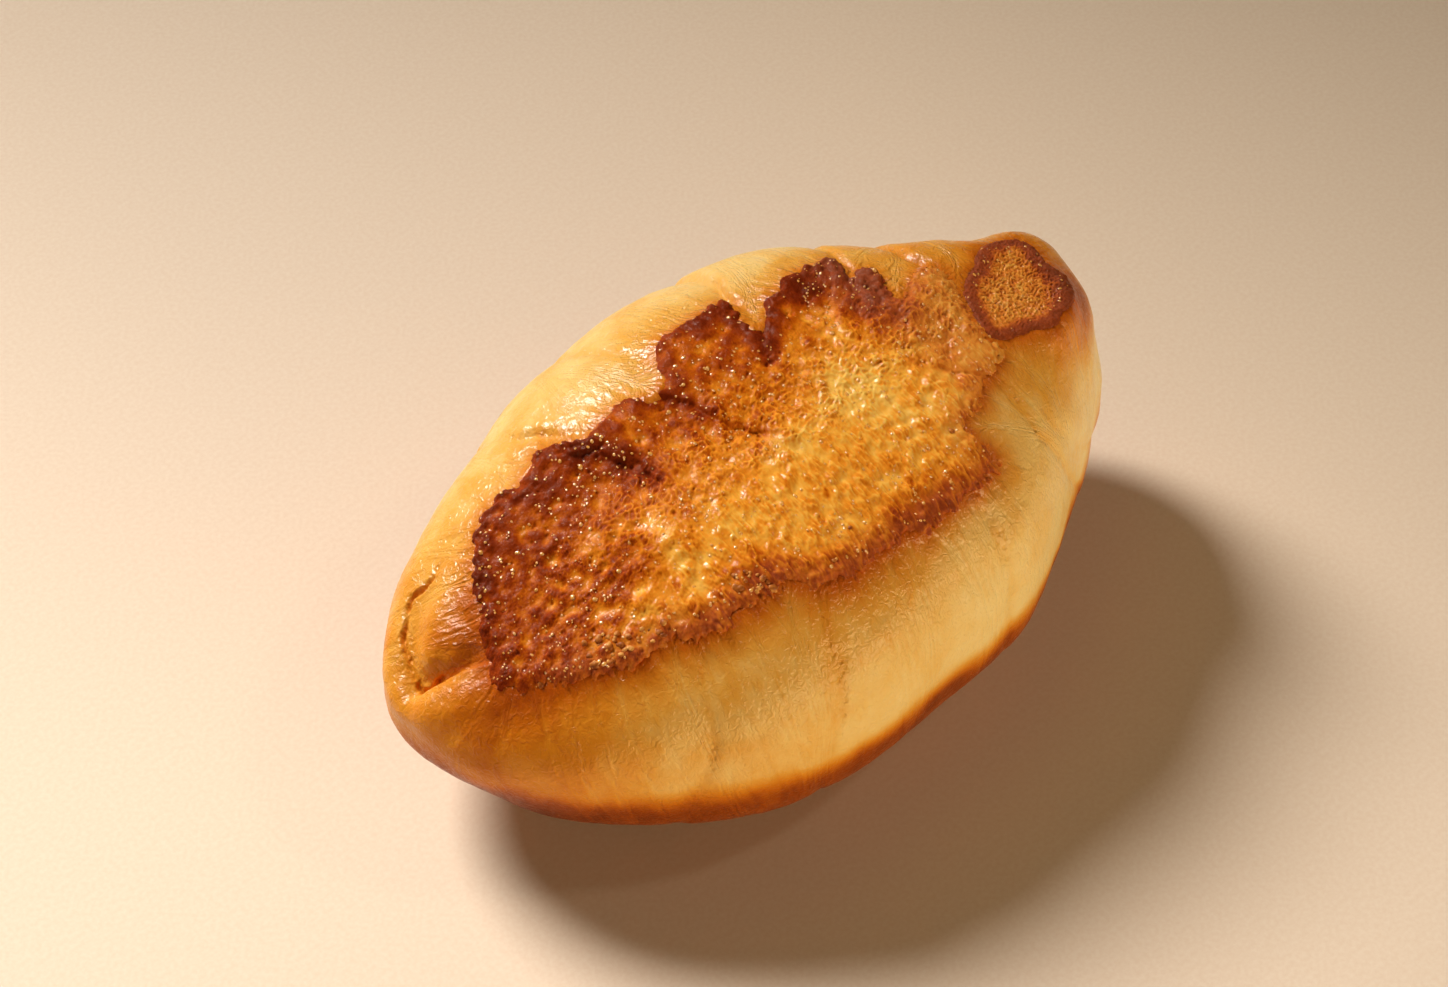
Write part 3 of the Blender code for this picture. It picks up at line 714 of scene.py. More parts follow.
# %% Darker and paler strokes on the fried base: a path, its half width, the change of bake
BAKE_STROKES = (
    # left rim
    (((-41.4, 9.6), (-43.7, 6.0), (-46.1, 2.4), (-48.2, -0.6), (-49.9, -3.9)), 2.0, 0.22),
    (((-49.0, -4.6), (-47.1, -7.3), (-44.1, -9.7), (-41.4, -12.4)), 1.8, 0.10),  # left low rim
    (((-37.7, 12.8), (-34.6, 13.2), (-31.9, 12.2), (-29.2, 9.7)), 1.8, 0.24),  # lobe 1 rim
    (((-26.9, 15.0), (-24.2, 13.1), (-21.4, 10.2)), 1.4, 0.26),  # lobe 2 rim
    # Lobe 2's dark stroke is painted shade along its crease.
    (((-22.9, 10.5), (-20.6, 7.1), (-19.4, 3.6), (-19.3, -0.2)), 1.5, 0.34),  # lobe 2 shade
    (((-26.4, 10.5), (-23.1, 6.3), (-20.3, 1.5)), 2.6, 0.16),  # lobe 2 floor
    # lobe 3 rim
    (((-18.7, 10.0), (-16.5, 10.9), (-12.9, 9.9),
      (-9.9, 8.2), (-8.2, 5.2), (-8.0, 2.5)), 1.6, 0.22),
    (((-4.9, 15.9), (-6.5, 12.0), (-7.1, 8.4)), 1.2, 0.20),  # lobe 4 side
    (((1.1, 15.5), (5.6, 15.4), (6.9, 12.9), (6.5, 8.5), (5.4, 6.0)), 2.0, 0.37),  # lobe 4 rim
    (((0.8, 13.2), (2.9, 8.6)), 2.4, 0.14),  # lobe 4 floor
    (((10.9, 10.2), (7.9, 6.1), (4.9, 3.8)), 1.2, 0.30),  # lobe 5 side
    (((14.5, 12.2), (20.4, 12.5), (23.9, 11.2)), 2.4, 0.41),  # lobe 5 rim
    (((16.3, 10.2), (19.9, 9.0)), 2.2, 0.20),  # lobe 5 floor
    (((23.2, 9.1), (21.8, 6.0), (19.2, 2.8)), 1.0, 0.30),  # lobe 5 end
    (((24.9, 6.4), (23.6, 3.6), (20.6, 0.7)), 1.3, 0.52),  # small lobe
    (((25.1, 2.6), (22.1, -1.6), (18.7, -3.0)), 1.2, 0.28),  # small lobe right
    (((26.0, -0.4), (23.5, -4.9), (23.4, -9.2)), 1.0, 0.16),  # wrinkle a
    (((31.0, -1.6), (30.9, -5.7), (29.4, -10.4)), 1.2, 0.10),  # wrinkle b
    (((33.7, -3.6), (31.6, -7.7), (30.9, -11.3)), 0.8, 0.28),  # by disc
    (((29.0, -13.3), (26.8, -15.9), (21.9, -18.1)), 1.6, 0.12),  # right side
    (((18.7, -19.0), (17.7, -21.6)), 0.7, 0.30),  # right nick
    (((18.3, -23.5), (18.0, -25.2), (14.9, -26.3), (11.8, -26.6)), 1.0, 0.32),  # right tip
    (((6.9, -21.9), (11.5, -23.8), (15.7, -25.2)), 1.8, 0.18),  # right low a
    (((1.6, -23.6), (6.8, -24.9), (11.1, -25.8)), 1.8, 0.26),  # right low b
    # near rim c
    (((-8.6, -26.2), (-3.4, -26.0), (1.4, -25.8), (6.3, -26.4), (9.5, -26.8)), 2.3, 0.31),
    (((-16.6, -22.1), (-13.6, -24.5), (-9.6, -26.1)), 2.3, 0.27),  # near rim d
    (((-14.2, -21.5), (-8.5, -23.9)), 1.4, 0.16),  # near floor d
    (((-21.1, -17.6), (-19.1, -19.6), (-16.8, -19.2)), 2.2, 0.34),  # near knot
    (((-26.4, -19.6), (-22.4, -20.8), (-20.3, -21.0)), 2.3, 0.27),  # near rim e
    (((-31.9, -17.5), (-28.7, -19.3), (-25.1, -21.0)), 2.0, 0.24),  # near rim f
    (((-40.7, -13.5), (-37.5, -15.8), (-34.4, -17.0)), 1.8, 0.16),  # near rim g
    (((-39.6, 7.4), (-35.7, 2.8)), 3.0, 0.12),  # left floor
    (((-45.9, -1.9), (-42.5, -7.9)), 2.6, 0.10),  # left floor 2
    (((-23.5, -5.0), (-24.4, -8.5), (-25.3, -11.8)), 1.7, -0.26),  # flake a
    (((-31.2, -10.7), (-32.6, -13.1)), 1.4, -0.24),  # flake b
    (((-15.0, -5.2), (-17.0, -11.2), (-17.7, -16.7)), 3.2, -0.14),  # pale centre a
    (((8.7, 2.1), (10.3, -4.0), (10.7, -9.4)), 3.6, -0.12),  # pale centre b
    (((-9.3, -4.7), (-5.8, -8.6), (-0.8, -8.1)), 1.7, -0.14),  # pale ridge
    (((8.5, -7.8), (12.7, -13.0), (18.8, -16.3)), 3.6, -0.08),  # pale right
    (((-30.7, 0.0), (-31.2, -1.9)), 1.2, -0.16),  # bubble
    (((15.0, 4.9), (15.2, 0.7)), 2.4, -0.23),  # yellow
    (((-43.6, 8.5), (-42.7, 7.2)), 1.0, 0.55),  # charred lump
    (((-4.3, -16.8), (-4.0, -16.4)), 0.45, 0.6),  # charred speck a
    (((16.3, -1.5), (16.6, -1.2)), 0.35, 0.6),  # charred speck b
    (((-44.0, 2.0), (-42.0, -3.0)), 2.6, 0.10),  # left floor 3
    (((-31.0, 10.0), (-28.0, 6.0)), 2.6, 0.10),  # lobe 1 floor
    (((-30.2, 3.4), (-27.0, 0.6), (-24.0, 0.6)), 2.2, 0.16),  # left of the flakes
    (((-29.5, 9.5), (-27.0, 12.0), (-23.0, 10.5)), 1.8, 0.14),  # lobe 2 left
    (((-19.0, 6.5), (-20.8, 3.2), (-18.0, 0.6)), 1.5, 0.14),  # lobe 3 left
    (((-5.5, 11.0), (-3.0, 8.0), (0.0, 6.3)), 1.8, 0.14),  # lobe 4 left
    (((17.5, 11.0), (18.0, 9.0)), 1.2, 0.16),  # lobe 5 middle
    (((-21.5, -20.5), (-18.5, -19.8)), 1.4, 0.14),  # near knot 3
    (((-31.0, -7.5), (-28.5, -5.0)), 1.8, 0.16),  # between the flakes
    (((-14.0, 6.5), (-11.3, 4.0), (-8.8, 1.8)), 1.8, 0.14),  # lobe 3 floor
    (((16.0, 9.5), (18.5, 10.0)), 1.8, 0.16),  # lobe 5 dark floor
    (((34.0, -8.0), (30.0, -13.0), (27.5, -15.5)), 2.0, -0.14),  # pale right edge
    (((-31.0, -7.5), (-27.5, -11.5)), 2.6, 0.12),  # below the flakes
    (((-19.0, -16.0), (-17.0, -17.5)), 2.0, 0.20),  # near knot 2
    (((-28.5, 7.5), (-23.0, 9.5)), 2.4, 0.08),  # lobe 2 floor b
    (((-9.5, 10.5), (-11.5, 10.5)), 1.6, 0.16),  # lobe 3 top
    (((-4.5, -26.6), (-1.0, -26.2), (3.0, -26.6)), 1.2, 0.12),  # near rim dark
    (((-46.0, 0.5), (-45.5, -4.5)), 1.8, -0.08),  # left rim paler
    (((-36.5, -17.0), (-34.0, -17.0)), 1.2, -0.14),  # pale near left
)
# Hollows and swells: X, Y, radius, height.
BASE_SWELLS = (
    (-12.0, 6.0, 4.2, -1.2),
    (-7.0, 1.5, 2.4, 0.3),
    (-24.5, 5.5, 4.2, -0.9),
    (-40.0, 0.0, 7.0, -0.3),
    (4.5, 10.5, 3.2, -0.5),
    (17.0, 7.0, 3.6, -0.9),
    (1.0, -2.0, 4.5, -0.5),
    (-2.5, -6.5, 2.6, 0.5),
    (-24.3, -8.5, 2.2, 0.6),
    (-31.9, -12.0, 1.6, 0.5),
    (-17.0, -11.0, 3.0, 0.25),
    (-31.0, -1.0, 1.4, 0.45),
    (25.0, -3.0, 3.0, 0.5),
    (30.0, -1.0, 3.0, 0.3),
    (14.0, -21.0, 4.0, -0.3),
    (-20.0, -18.0, 2.5, 0.5),
    (-28.0, -16.0, 2.5, 0.4),
    (-43.1, 7.9, 1.1, 0.5),
)
# Creases where one wrap laps over the next: points along each, then depth and lip.
CREASES = (
    (((-22.9, 10.5), (-20.6, 7.1), (-19.4, 3.6), (-19.3, -0.2)), 0.5, 0.55),
    (((-10.8, 10.9), (-8.2, 6.4), (-7.9, 2.5), (-7.0, -1.2), (-4.0, -4.0)), 0.55, 0.45),
    (((8.5, 9.0), (6.4, 6.5), (4.6, 3.4)), 0.5, 0.3),
    (((24.4, 9.0), (21.6, 4.0), (18.8, 0.8)), 0.5, 0.3),
    (((24.0, 7.0), (23.6, 2.0), (22.6, -3.4)), 0.4, 0.3),
    (((19.6, -8.2), (22.4, -13.1), (27.7, -17.6)), 0.35, 0.3),
    (((27.6, -5.5), (24.8, -11.0), (22.0, -15.5)), 0.3, 0.2),
)
CREASE_WIDTH = 1.0


def crease_relief(x, y):
    """Height of the creases with the lip over each, and the painted shade in them."""
    relief = np.zeros_like(x)
    painted_shade = np.zeros_like(x)
    flat = np.column_stack([x.ravel(), y.ravel(), np.zeros(x.size)])
    wander_x = (0.5 * lumps(flat, 3.0, 57) + 0.2 * lumps(flat, 1.0, 58)).reshape(x.shape)
    wander_y = (0.5 * lumps(flat, 3.0, 59) + 0.2 * lumps(flat, 1.0, 60)).reshape(x.shape)
    for path, depth, lip in CREASES:
        nearest, side, _ = away_from(path, x + wander_x, y + wander_y)
        crease = np.exp(-(nearest / CREASE_WIDTH) ** 2)
        over = smoothstep(side / 1.6 + 0.4)
        relief += lip * over * np.exp(-nearest / 2.4) - 0.7 * depth * crease
        painted_shade = np.maximum(painted_shade, crease + 0.5 * np.exp(-nearest / 1.3) * (1.0 - over))
    return relief, painted_shade


def spots(x, y, spacing, count, radii, seed):
    """Small round spots scattered over the grid, 1 at their middles."""
    random = np.random.default_rng(seed)
    found = np.zeros_like(x)
    rows, columns = x.shape
    for _ in range(count):
        row, column = random.integers(rows), random.integers(columns)
        radius = random.uniform(*radii)
        reach = int(2.5 * radius / spacing) + 1
        window = (slice(max(0, row - reach), row + reach),
                  slice(max(0, column - reach), column + reach))
        away = np.hypot(x[window] - x[row, column], y[window] - y[row, column])
        found[window] = np.maximum(found[window], np.exp(-(away / radius) ** 4))
    return found


# %% The crust's shape and bake
LIP_HEIGHT = 0.42
CRUST_RISE = 0.22
EDGE_THINNING = 0.30
RIDGE_HEIGHT = 0.25
# The ridges' mean, taken off so that they neither raise nor sink the crust.
RIDGE_MEAN = 0.38
PORES, PORE_RADII = 1100, (0.16, 0.36)
BLISTERS, BLISTER_RADII = 420, (0.22, 0.5)
# The golden middle ends, toward the far side, along this line.
AMBER_FROM_X = (-30.0, -24.0, -15.0, -5.0, 3.0, 10.0, 18.0, 26.0, 32.0)
AMBER_FROM_Y = (-16.0, -15.0, -14.0, -11.5, -8.5, -5.5, -8.0, -9.0, -2.0)


def worms(shape, spacing, wave, seed, stretch=1.0):
    """Thin curly ridges like the walls of a foam: 1 on a ridge, 0 in the pits between."""
    coarse = ripples(shape, spacing, 1.8 * wave, seed, 0.5, stretch)
    fine = ripples(shape, spacing, 0.9 * wave, seed + 100, 0.5, stretch)
    return np.exp(-((coarse + 0.25 * fine) / 0.6) ** 2)


def base_fields(x, y, spacing):
    """What the fried base is like at each place of its grid."""
    grid = x.shape, spacing
    uneven = ripples(*grid, 4.5, 61, 0.5)
    patchy = ripples(*grid, 2.4, 69, 0.4)
    far = smoothstep((y - np.interp(x, AMBER_FROM_X, AMBER_FROM_Y)) / 9.0)
    left = smoothstep((-25.0 - x) / 12.0)
    right = smoothstep((x - 17.0) / 8.0)
    near = smoothstep((-6.0 - y) / 8.0)
    inside, lip = inside_edge(BASE_EDGE, x, y)
    inside = inside + 0.20 * uneven + (0.09 + 0.14 * near) * ripples(*grid, 1.3, 62)
    edge = np.clip(inside, 0.0, None)

    coral = worms(*grid, 0.95, 63)
    strands = worms(*grid, 0.72, 64, 3.0)
    grains = worms(*grid, 0.58, 65)
    strand_share = near * (1.0 - left)
    ridge = coral + (strands - coral) * strand_share
    ridge = ridge + (grains - ridge) * (0.2 + 0.5 * left)
    # The foam stands up in the golden middle, and is fried flat on the far side and the left.
    foamy = smoothstep(0.75 - (y - 1.0) / 8.0) * (1.0 - 0.55 * left) * (1.0 - 0.25 * near)
    foamy *= 1.0 - 0.35 * far
    foamy = np.clip(foamy * (0.75 + 0.25 * uneven + 0.25 * patchy) + 0.15, 0.05, 1.3)
    fried = np.maximum(far, left)
    pores = spots(x, y, spacing, PORES, PORE_RADII, 66) * (0.25 + 0.75 * fried)
    blisters = spots(x, y, spacing, BLISTERS, BLISTER_RADII, 67) * fried
    creases, crease_painted_shade = crease_relief(x, y)

    # The shape: a torn lip on the edge, ridges, soft swells, blisters, pores, a thin edge.
    torn = smoothstep(0.5 + 0.45 * ripples(*grid, 1.7, 70, 0.4))
    rim = np.exp(-((edge - 0.9) / 1.4) ** 2)
    relief = CRUST_RISE + LIP_HEIGHT * lip * (0.35 + 0.9 * torn) * rim + creases
    relief += RIDGE_HEIGHT * foamy * (ridge - RIDGE_MEAN) + 0.05 * (grains - RIDGE_MEAN)
    relief += 0.08 * patchy + 0.08 * uneven + 0.10 * blisters
    relief -= 0.18 * pores + EDGE_THINNING * (1.0 - smoothstep(edge / (1.1 - 0.6 * lip)))
    for swell_x, swell_y, radius, height in BASE_SWELLS:
        relief += height * np.exp(-((x - swell_x) ** 2 + (y - swell_y) ** 2) / radius ** 2)

    # The bake: brown on the left, amber on the far side, dark on the edge, and painted shade in
    # the creases.
    bake = 0.23 + left * (0.26 - 0.10 * near) + 0.28 * far * (1.0 - 0.40 * left)
    bake += (0.06 + 0.22 * lip) * np.exp(-(edge / (2.0 + 1.4 * lip)) ** 2)
    bake += 0.07 * uneven + (0.05 + 0.07 * left) * patchy
    bake += 0.10 * pores - 0.08 * blisters + 0.16 * np.clip(crease_painted_shade, 0.0, 1.0)
    for path, width, change in BAKE_STROKES:
        nearest, _, _ = away_from(path, x, y)
        bake += change * np.exp(-(nearest / width) ** 2)
    bake = saturate(bake, 0.90)
    # Pinkish brown on the right, over the whole disc and along the near rim: partly the crust's
    # own colour, partly a painted sheen of glints on the dark rim.
    pink = np.maximum(right, near * np.exp(-(edge / 3.2) ** 2))
    return {
        "inside": inside, "relief": relief, "bake": bake,
        "ridge": ridge * foamy, "strand": strand_share, "pink": pink,
    }


def disc_fields(x, y, spacing):
    """What the disc on the knob is like at each place of its grid."""
    grid = x.shape, spacing
    inside, lip = inside_edge(DISC_EDGE, x, y)
    inside = inside + 0.06 * ripples(*grid, 1.4, 81)
    edge = np.clip(inside, 0.0, None)
    folds = worms(*grid, 1.3, 82)
    grains = worms(*grid, 0.6, 83)
    ridge = 0.4 * folds + 0.6 * grains
    middle = smoothstep((edge - 1.4) / 1.6)
    torn = smoothstep(0.5 + 0.45 * ripples(*grid, 1.7, 85, 0.4))
    rim = np.exp(-((edge - 1.1) / 1.4) ** 2)
    relief = CRUST_RISE + LIP_HEIGHT * lip * (0.5 + 0.7 * torn) * rim
    relief += (0.10 + 0.18 * middle) * (ridge - RIDGE_MEAN) + 0.06 * (grains - RIDGE_MEAN)
    relief -= EDGE_THINNING * (1.0 - smoothstep(edge / 0.6))
    ring = np.exp(-(edge / (1.6 + 1.8 * lip)) ** 3)
    dark_side = np.exp(-((x - 46.5) ** 2 + (y + 10.0) ** 2) / 3.0 ** 2)
    bake = 0.34 + (0.52 + 0.54 * lip) * ring + 0.30 * dark_side
    bake = saturate(bake + 0.05 * ripples(*grid, 2.0, 84), 0.95)
    return {
        "inside": inside, "relief": relief, "bake": bake,
        "ridge": ridge * (0.3 + 0.7 * middle), "strand": 0.0 * x, "pink": 0.0 * x + 1.0,
    }


# %% Make a crust piece
# The edge of the crust, ring by ring: how far out from the outline, and how far down.
EDGE_RINGS = ((0.05, 0.18), (-0.10, 0.5), (-0.30, 1.0), (-0.30, 2.6))


def crust_piece(name, low, high, spacing, fields_at):
    """A closed sheet of crust on the skin, inside the outline that its fields give."""
    width, depth = high[0] - low[0], high[1] - low[1]
    columns, rows = round(width / spacing), round(depth / spacing)
    bpy.ops.object.select_all(action="DESELECT")
    bpy.ops.mesh.primitive_grid_add(
        x_subdivisions=columns, y_subdivisions=rows, size=1.0,
        location=((low[0] + high[0]) / 2 * MM, (low[1] + high[1]) / 2 * MM, ABOVE_ALL * MM),
    )
    piece = bpy.context.object
    piece.name = name
    piece.scale = (width * MM, depth * MM, 1.0)
    bpy.ops.object.transform_apply(location=True, rotation=True, scale=True)
    apply_modifier(
        piece, "SHRINKWRAP", target=smooth_skin, wrap_method="PROJECT", use_project_z=True,
        use_positive_direction=False, use_negative_direction=True,
    )
    shape = (rows + 1, columns + 1)
    points = points_of(piece).reshape(*shape, 3)
    fields = fields_at(points[..., 0], points[..., 1], width / columns)

    slope_y, slope_x = np.gradient(points[..., 2], width / columns)
    up = np.stack([-slope_x, -slope_y, np.ones(shape)], axis=-1)
    up /= np.linalg.norm(up, axis=-1, keepdims=True)
    fall_y, fall_x = np.gradient(-fields["inside"], width / columns)
    out = np.stack([fall_x, fall_y, np.zeros(shape)], axis=-1)
    steepness = np.linalg.norm(out, axis=-1, keepdims=True)
    out /= np.maximum(steepness, 0.3)
    points = points + up * fields["relief"][..., None]
    to_edge = np.clip(fields["inside"], -spacing, spacing)[..., None]
    snapped = points + out * to_edge
    move_points(piece, points.reshape(-1, 3))
    for field, vectors in (("up", up), ("out", out), ("snapped", snapped)):
        store(piece, field, vectors.reshape(-1, 3))
    for field in ("bake", "ridge", "strand", "pink"):
        store(piece, field, fields[field].ravel())

    corners = fields["inside"]
    middle = (corners[:-1, :-1] + corners[1:, :-1] + corners[:-1, 1:] + corners[1:, 1:]) / 4.0
    select_faces(piece, middle.ravel() < 0.0)
    with edit_mode():
        bpy.ops.mesh.select_mode(type="FACE")
        bpy.ops.mesh.delete(type="FACE")
    keep_largest(piece)
    close_edge(piece)
    return piece


def keep_largest(piece):
    """Deletes the crumbs that the ragged outline cut off from the sheet."""
    points = points_of(piece)
    middle = np.argmin(np.linalg.norm(points - points.mean(axis=0), axis=1))
    chosen = np.zeros(len(points), bool)
    chosen[middle] = True
    with edit_mode():
        bpy.ops.mesh.select_mode(type="VERT")
        bpy.ops.mesh.select_all(action="DESELECT")
    piece.data.vertices.foreach_set("select", chosen)
    with edit_mode():
        bpy.ops.mesh.select_linked()
        bpy.ops.mesh.select_all(action="INVERT")
        bpy.ops.mesh.delete(type="VERT")


def selected_points(piece):
    chosen = np.zeros(len(piece.data.vertices), bool)
    piece.data.vertices.foreach_get("select", chosen)
    return chosen


def vectors_of(piece, name):
    """The vectors that were stored for the points under this name."""
    return numbers(piece.data.attributes[name].data, "vector")


def close_edge(piece):
    """Extrudes the open edge down into the skin, ring by ring, and fills the bottom."""
    with edit_mode():
        bpy.ops.mesh.select_mode(type="FACE")
        bpy.ops.mesh.select_all(action="SELECT")
        bpy.ops.mesh.region_to_loop()
    rim = selected_points(piece)
    points = points_of(piece)
    points[rim] = vectors_of(piece, "snapped")[rim]
    move_points(piece, points)
    outer, below = 0.0, 0.0
    for ring_out, ring_down in EDGE_RINGS:
        with edit_mode():
            bpy.ops.mesh.extrude_region_move()
        rim = selected_points(piece)
        points = points_of(piece)
        up, out = vectors_of(piece, "up"), vectors_of(piece, "out")
        points[rim] += out[rim] * (ring_out - outer) - up[rim] * (ring_down - below)
        move_points(piece, points)
        outer, below = ring_out, ring_down
    with edit_mode():
        bpy.ops.mesh.fill(use_beauty=False)
        bpy.ops.mesh.select_all(action="SELECT")
        bpy.ops.mesh.normals_make_consistent(inside=False)
        bpy.ops.mesh.select_all(action="DESELECT")
    for used in ("up", "out", "snapped"):
        piece.data.attributes.remove(piece.data.attributes[used])
    bpy.ops.object.shade_smooth()


# %% Fry the base and the disc
BASE_NET = 0.174
DISC_NET = 0.12

select_only(skin)
bpy.ops.object.duplicate()
smooth_skin = bpy.context.object
move_points(smooth_skin, skin_points)
fried_base = crust_piece("fried_base", BASE_LOW, BASE_HIGH, BASE_NET, base_fields)
knob_disc = crust_piece("knob_disc", DISC_LOW, DISC_HIGH, DISC_NET, disc_fields)
bpy.data.objects.remove(smooth_skin)
print("fried base:", triangles_of(fried_base), "triangles; disc:", triangles_of(knob_disc))

# %% [markdown]
# ## Butter beads and crumbs
#
# Melted butter stands on the crust in more than a thousand flat beads, each with a tiny
# glint. One bead is modelled, flattened, and copied to places picked at random on the crust.

# %% Scatter small things
def scatter(name, seed_piece, places, normals, sizes, seed):
    """One mesh of many copies of a small piece, each turned, sized and set on a place."""
    random = np.random.default_rng(seed)
    shape = points_of(seed_piece)
    faces = [tuple(face.vertices) for face in seed_piece.data.polygons]
    all_points, all_faces = [], []
    for place, normal, size in zip(places, normals, sizes):
        turn = random.uniform(0.0, 2.0 * math.pi)
        side = np.cross(normal, (math.cos(turn), math.sin(turn), 0.3))
        side /= np.linalg.norm(side)
        other = np.cross(normal, side)
        start = len(all_points) * len(shape)
        all_points.append(place + size * (shape @ np.array([side, other, normal])))
        all_faces.extend(tuple(start + v for v in face) for face in faces)
    mesh = bpy.data.meshes.new(name)
    mesh.from_pydata((np.concatenate(all_points) * MM).tolist(), [], all_faces)
    piece = bpy.data.objects.new(name, mesh)
    bpy.context.scene.collection.objects.link(piece)
    select_only(piece)
    bpy.ops.object.shade_smooth()
    bpy.data.objects.remove(seed_piece)
    return piece


# %% Butter beads
BEADS_ON_BASE, BEADS_ON_DISC = 1500, 70
BEAD_SIZE = 0.17
SIZE_SPREAD = 0.35


def sizes_around(middle, smallest, largest, count):
    """Random sizes, most of them near the middle one."""
    sizes = np.exp(random.normal(math.log(middle), SIZE_SPREAD, count))
    return np.clip(sizes, smallest, largest)


bpy.ops.object.select_all(action="DESELECT")
bpy.ops.mesh.primitive_uv_sphere_add(segments=8, ring_count=5, radius=1.0 * MM)
bead = bpy.context.object
bpy.ops.transform.resize(value=(1.0, 0.8, 0.36))
bpy.ops.object.transform_apply(scale=True)

random = np.random.default_rng(91)
crust_points, crust_normals = points_of(fried_base), normals_of(fried_base)
disc_points, disc_normals = points_of(knob_disc), normals_of(knob_disc)
chance = 0.3 + 0.7 * smoothstep(0.5 + 0.5 * lumps(crust_points, 7.0, 92))
chance = np.where(crust_normals[:, 2] > 0.6, chance, 0.0)
chosen = random.choice(
    len(crust_points), BEADS_ON_BASE, replace=False, p=chance / chance.sum()
)
facing_up = np.nonzero(disc_normals[:, 2] > 0.6)[0]
on_disc = random.choice(facing_up, BEADS_ON_DISC, replace=False)
places = np.concatenate([crust_points[chosen], disc_points[on_disc]])
normals = np.concatenate([crust_normals[chosen], disc_normals[on_disc]])
sizes = sizes_around(BEAD_SIZE, 0.08, 0.42, len(places))
butter_beads = scatter("butter_beads", bead, places, normals, sizes, 93)
print("butter beads:", triangles_of(butter_beads), "triangles")

# %% Crumbs on the near edge
CRUMB_CLUMPS = ((-39.0, -12.5), (-37.5, -15.5), (-34.0, -16.5), (-20.5, -18.5), (-20.0, -21.0))
CLUMP_RADIUS = 1.8
CRUMBS = 56
CRUMB_SIZE = 0.34

bpy.ops.object.select_all(action="DESELECT")
bpy.ops.mesh.primitive_ico_sphere_add(subdivisions=2, radius=1.0 * MM)
crumb = bpy.context.object
crumb_shape = points_of(crumb)
crumb_shape *= (1.0 + 0.28 * lumps(crumb_shape * 3.0 + 50.0, 2.0, 101))[:, None]
move_points(crumb, crumb_shape * (1.0, 0.8, 0.6))

near_rim = (inside_base(crust_points) < 4.5) & (crust_points[:, 1] < -6.0)
rim_points = np.nonzero(near_rim & (crust_normals[:, 2] > 0.3))[0]
likely = np.full(len(rim_points), 0.02)
for clump in CRUMB_CLUMPS:
    away = np.hypot(*(crust_points[rim_points, :2] - clump).T)
    likely += np.exp(-(away / CLUMP_RADIUS) ** 2)
chosen = random.choice(rim_points, CRUMBS, replace=False, p=likely / likely.sum())
sizes = sizes_around(CRUMB_SIZE, 0.18, 0.70, CRUMBS)
crumbs = scatter("crumbs", crumb, crust_points[chosen], crust_normals[chosen], sizes, 102)
print("crumbs:", triangles_of(crumbs), "triangles")

# %% [markdown]
# ## Materials
#
# Every colour is an sRGB value as seen on the real thing, turned to Blender's linear light
# by one function. One small function adds a node with its settings and links.

# %% Tools for materials


def linear(hex_colour):
    """A colour like #E6A53C as Blender's linear red, green, blue and alpha."""
    parts = [int(hex_colour[i:i + 2], 16) / 255.0 for i in (1, 3, 5)]
    light = [p / 12.92 if p <= 0.04045 else ((p + 0.055) / 1.055) ** 2.4 for p in parts]
    return (*light, 1.0)


def add(material, kind, settings=None, stops=(), **inputs):
    """Adds a node. Inputs are set by name: a value, or a (node, output) pair to link.

    The stops of a colour ramp are pairs of a place from 0 to 1 and a colour.
    """
    tree = material.node_tree
    node = tree.nodes.new("ShaderNode" + kind)
    for setting, value in (settings or {}).items():
        setattr(node, setting, value)
    for name, value in inputs.items():
        numbered = name[0] == "i" and name[1:].isdigit()
        socket = node.inputs[int(name[1:]) if numbered else name.replace("_", " ")]
        if isinstance(value, tuple) and isinstance(value[0], bpy.types.Node):
            tree.links.new(value[0].outputs[value[1]], socket)
        else:
            socket.default_value = value
    if stops:
        elements = node.color_ramp.elements
        while len(elements) < len(stops):
            elements.new(0.5)
        for element, (place, colour) in zip(elements, stops):
            element.position = place
            element.color = linear(colour)
    return node


def new_material(name, **settings):
    """A material with one Principled shader, set by its inputs' names, and that shader."""
    material = bpy.data.materials.new(name)
    material.use_nodes = True
    shader = material.node_tree.nodes["Principled BSDF"]
    for setting, value in settings.items():
        shader.inputs[setting.replace("_", " ")].default_value = value
    return material, shader


def link(material, source, output, target, *names):
    for name in names:
        material.node_tree.links.new(source.outputs[output], target.inputs[name])


# %% [markdown]
# Baked bread skin is a film of browned starch and protein, brushed with butter: a warm,
# slightly see-through surface under a soft gloss. Its fine wrinkles and streaks run out from
# the crust's edge, so their noise is read at the nearest place of that edge.

# %% The skin's material
skin_look, shader = new_material(
    "buttered_bread_skin", Specular_IOR_Level=0.2, Specular_Tint=(1.0, 0.8, 0.5, 1.0),
    Subsurface_Weight=0.12, Subsurface_Radius=(1.0, 0.45, 0.2), Subsurface_Scale=1.6 * MM,
    Coat_Weight=0.40, Coat_Roughness=0.09,
)
bake, glow, wet_zone, streak, seam, gloss = (
    add(skin_look, "Attribute", {"attribute_name": name})
    for name in ("bake", "glow", "wet", "streak_place", "seam", "gloss")
)
place = add(skin_look, "TexCoord")
streaks = add(skin_look, "TexNoise", Vector=(streak, "Vector"),
              Scale=1.0 / (0.9 * MM), Detail=2.0, Roughness=0.45)
clouds = add(skin_look, "TexNoise", Vector=(place, "Object"), Scale=1.0 / (5.0 * MM), Detail=4.0)
grain = add(skin_look, "TexNoise", Vector=(place, "Object"),
            Scale=1.0 / (0.9 * MM), Detail=2.0, Roughness=0.5, Distortion=1.2)
pits = add(skin_look, "TexVoronoi", Vector=(place, "Object"), Scale=1.0 / (1.3 * MM))
pit_depth = add(skin_look, "MapRange", Value=(pits, "Distance"),
                From_Min=0.12, From_Max=0.34, To_Min=1.0, To_Max=0.0)
seam_pits = add(skin_look, "Math", {"operation": "MULTIPLY"}, i0=(pit_depth, 0), i1=(seam, "Fac"))
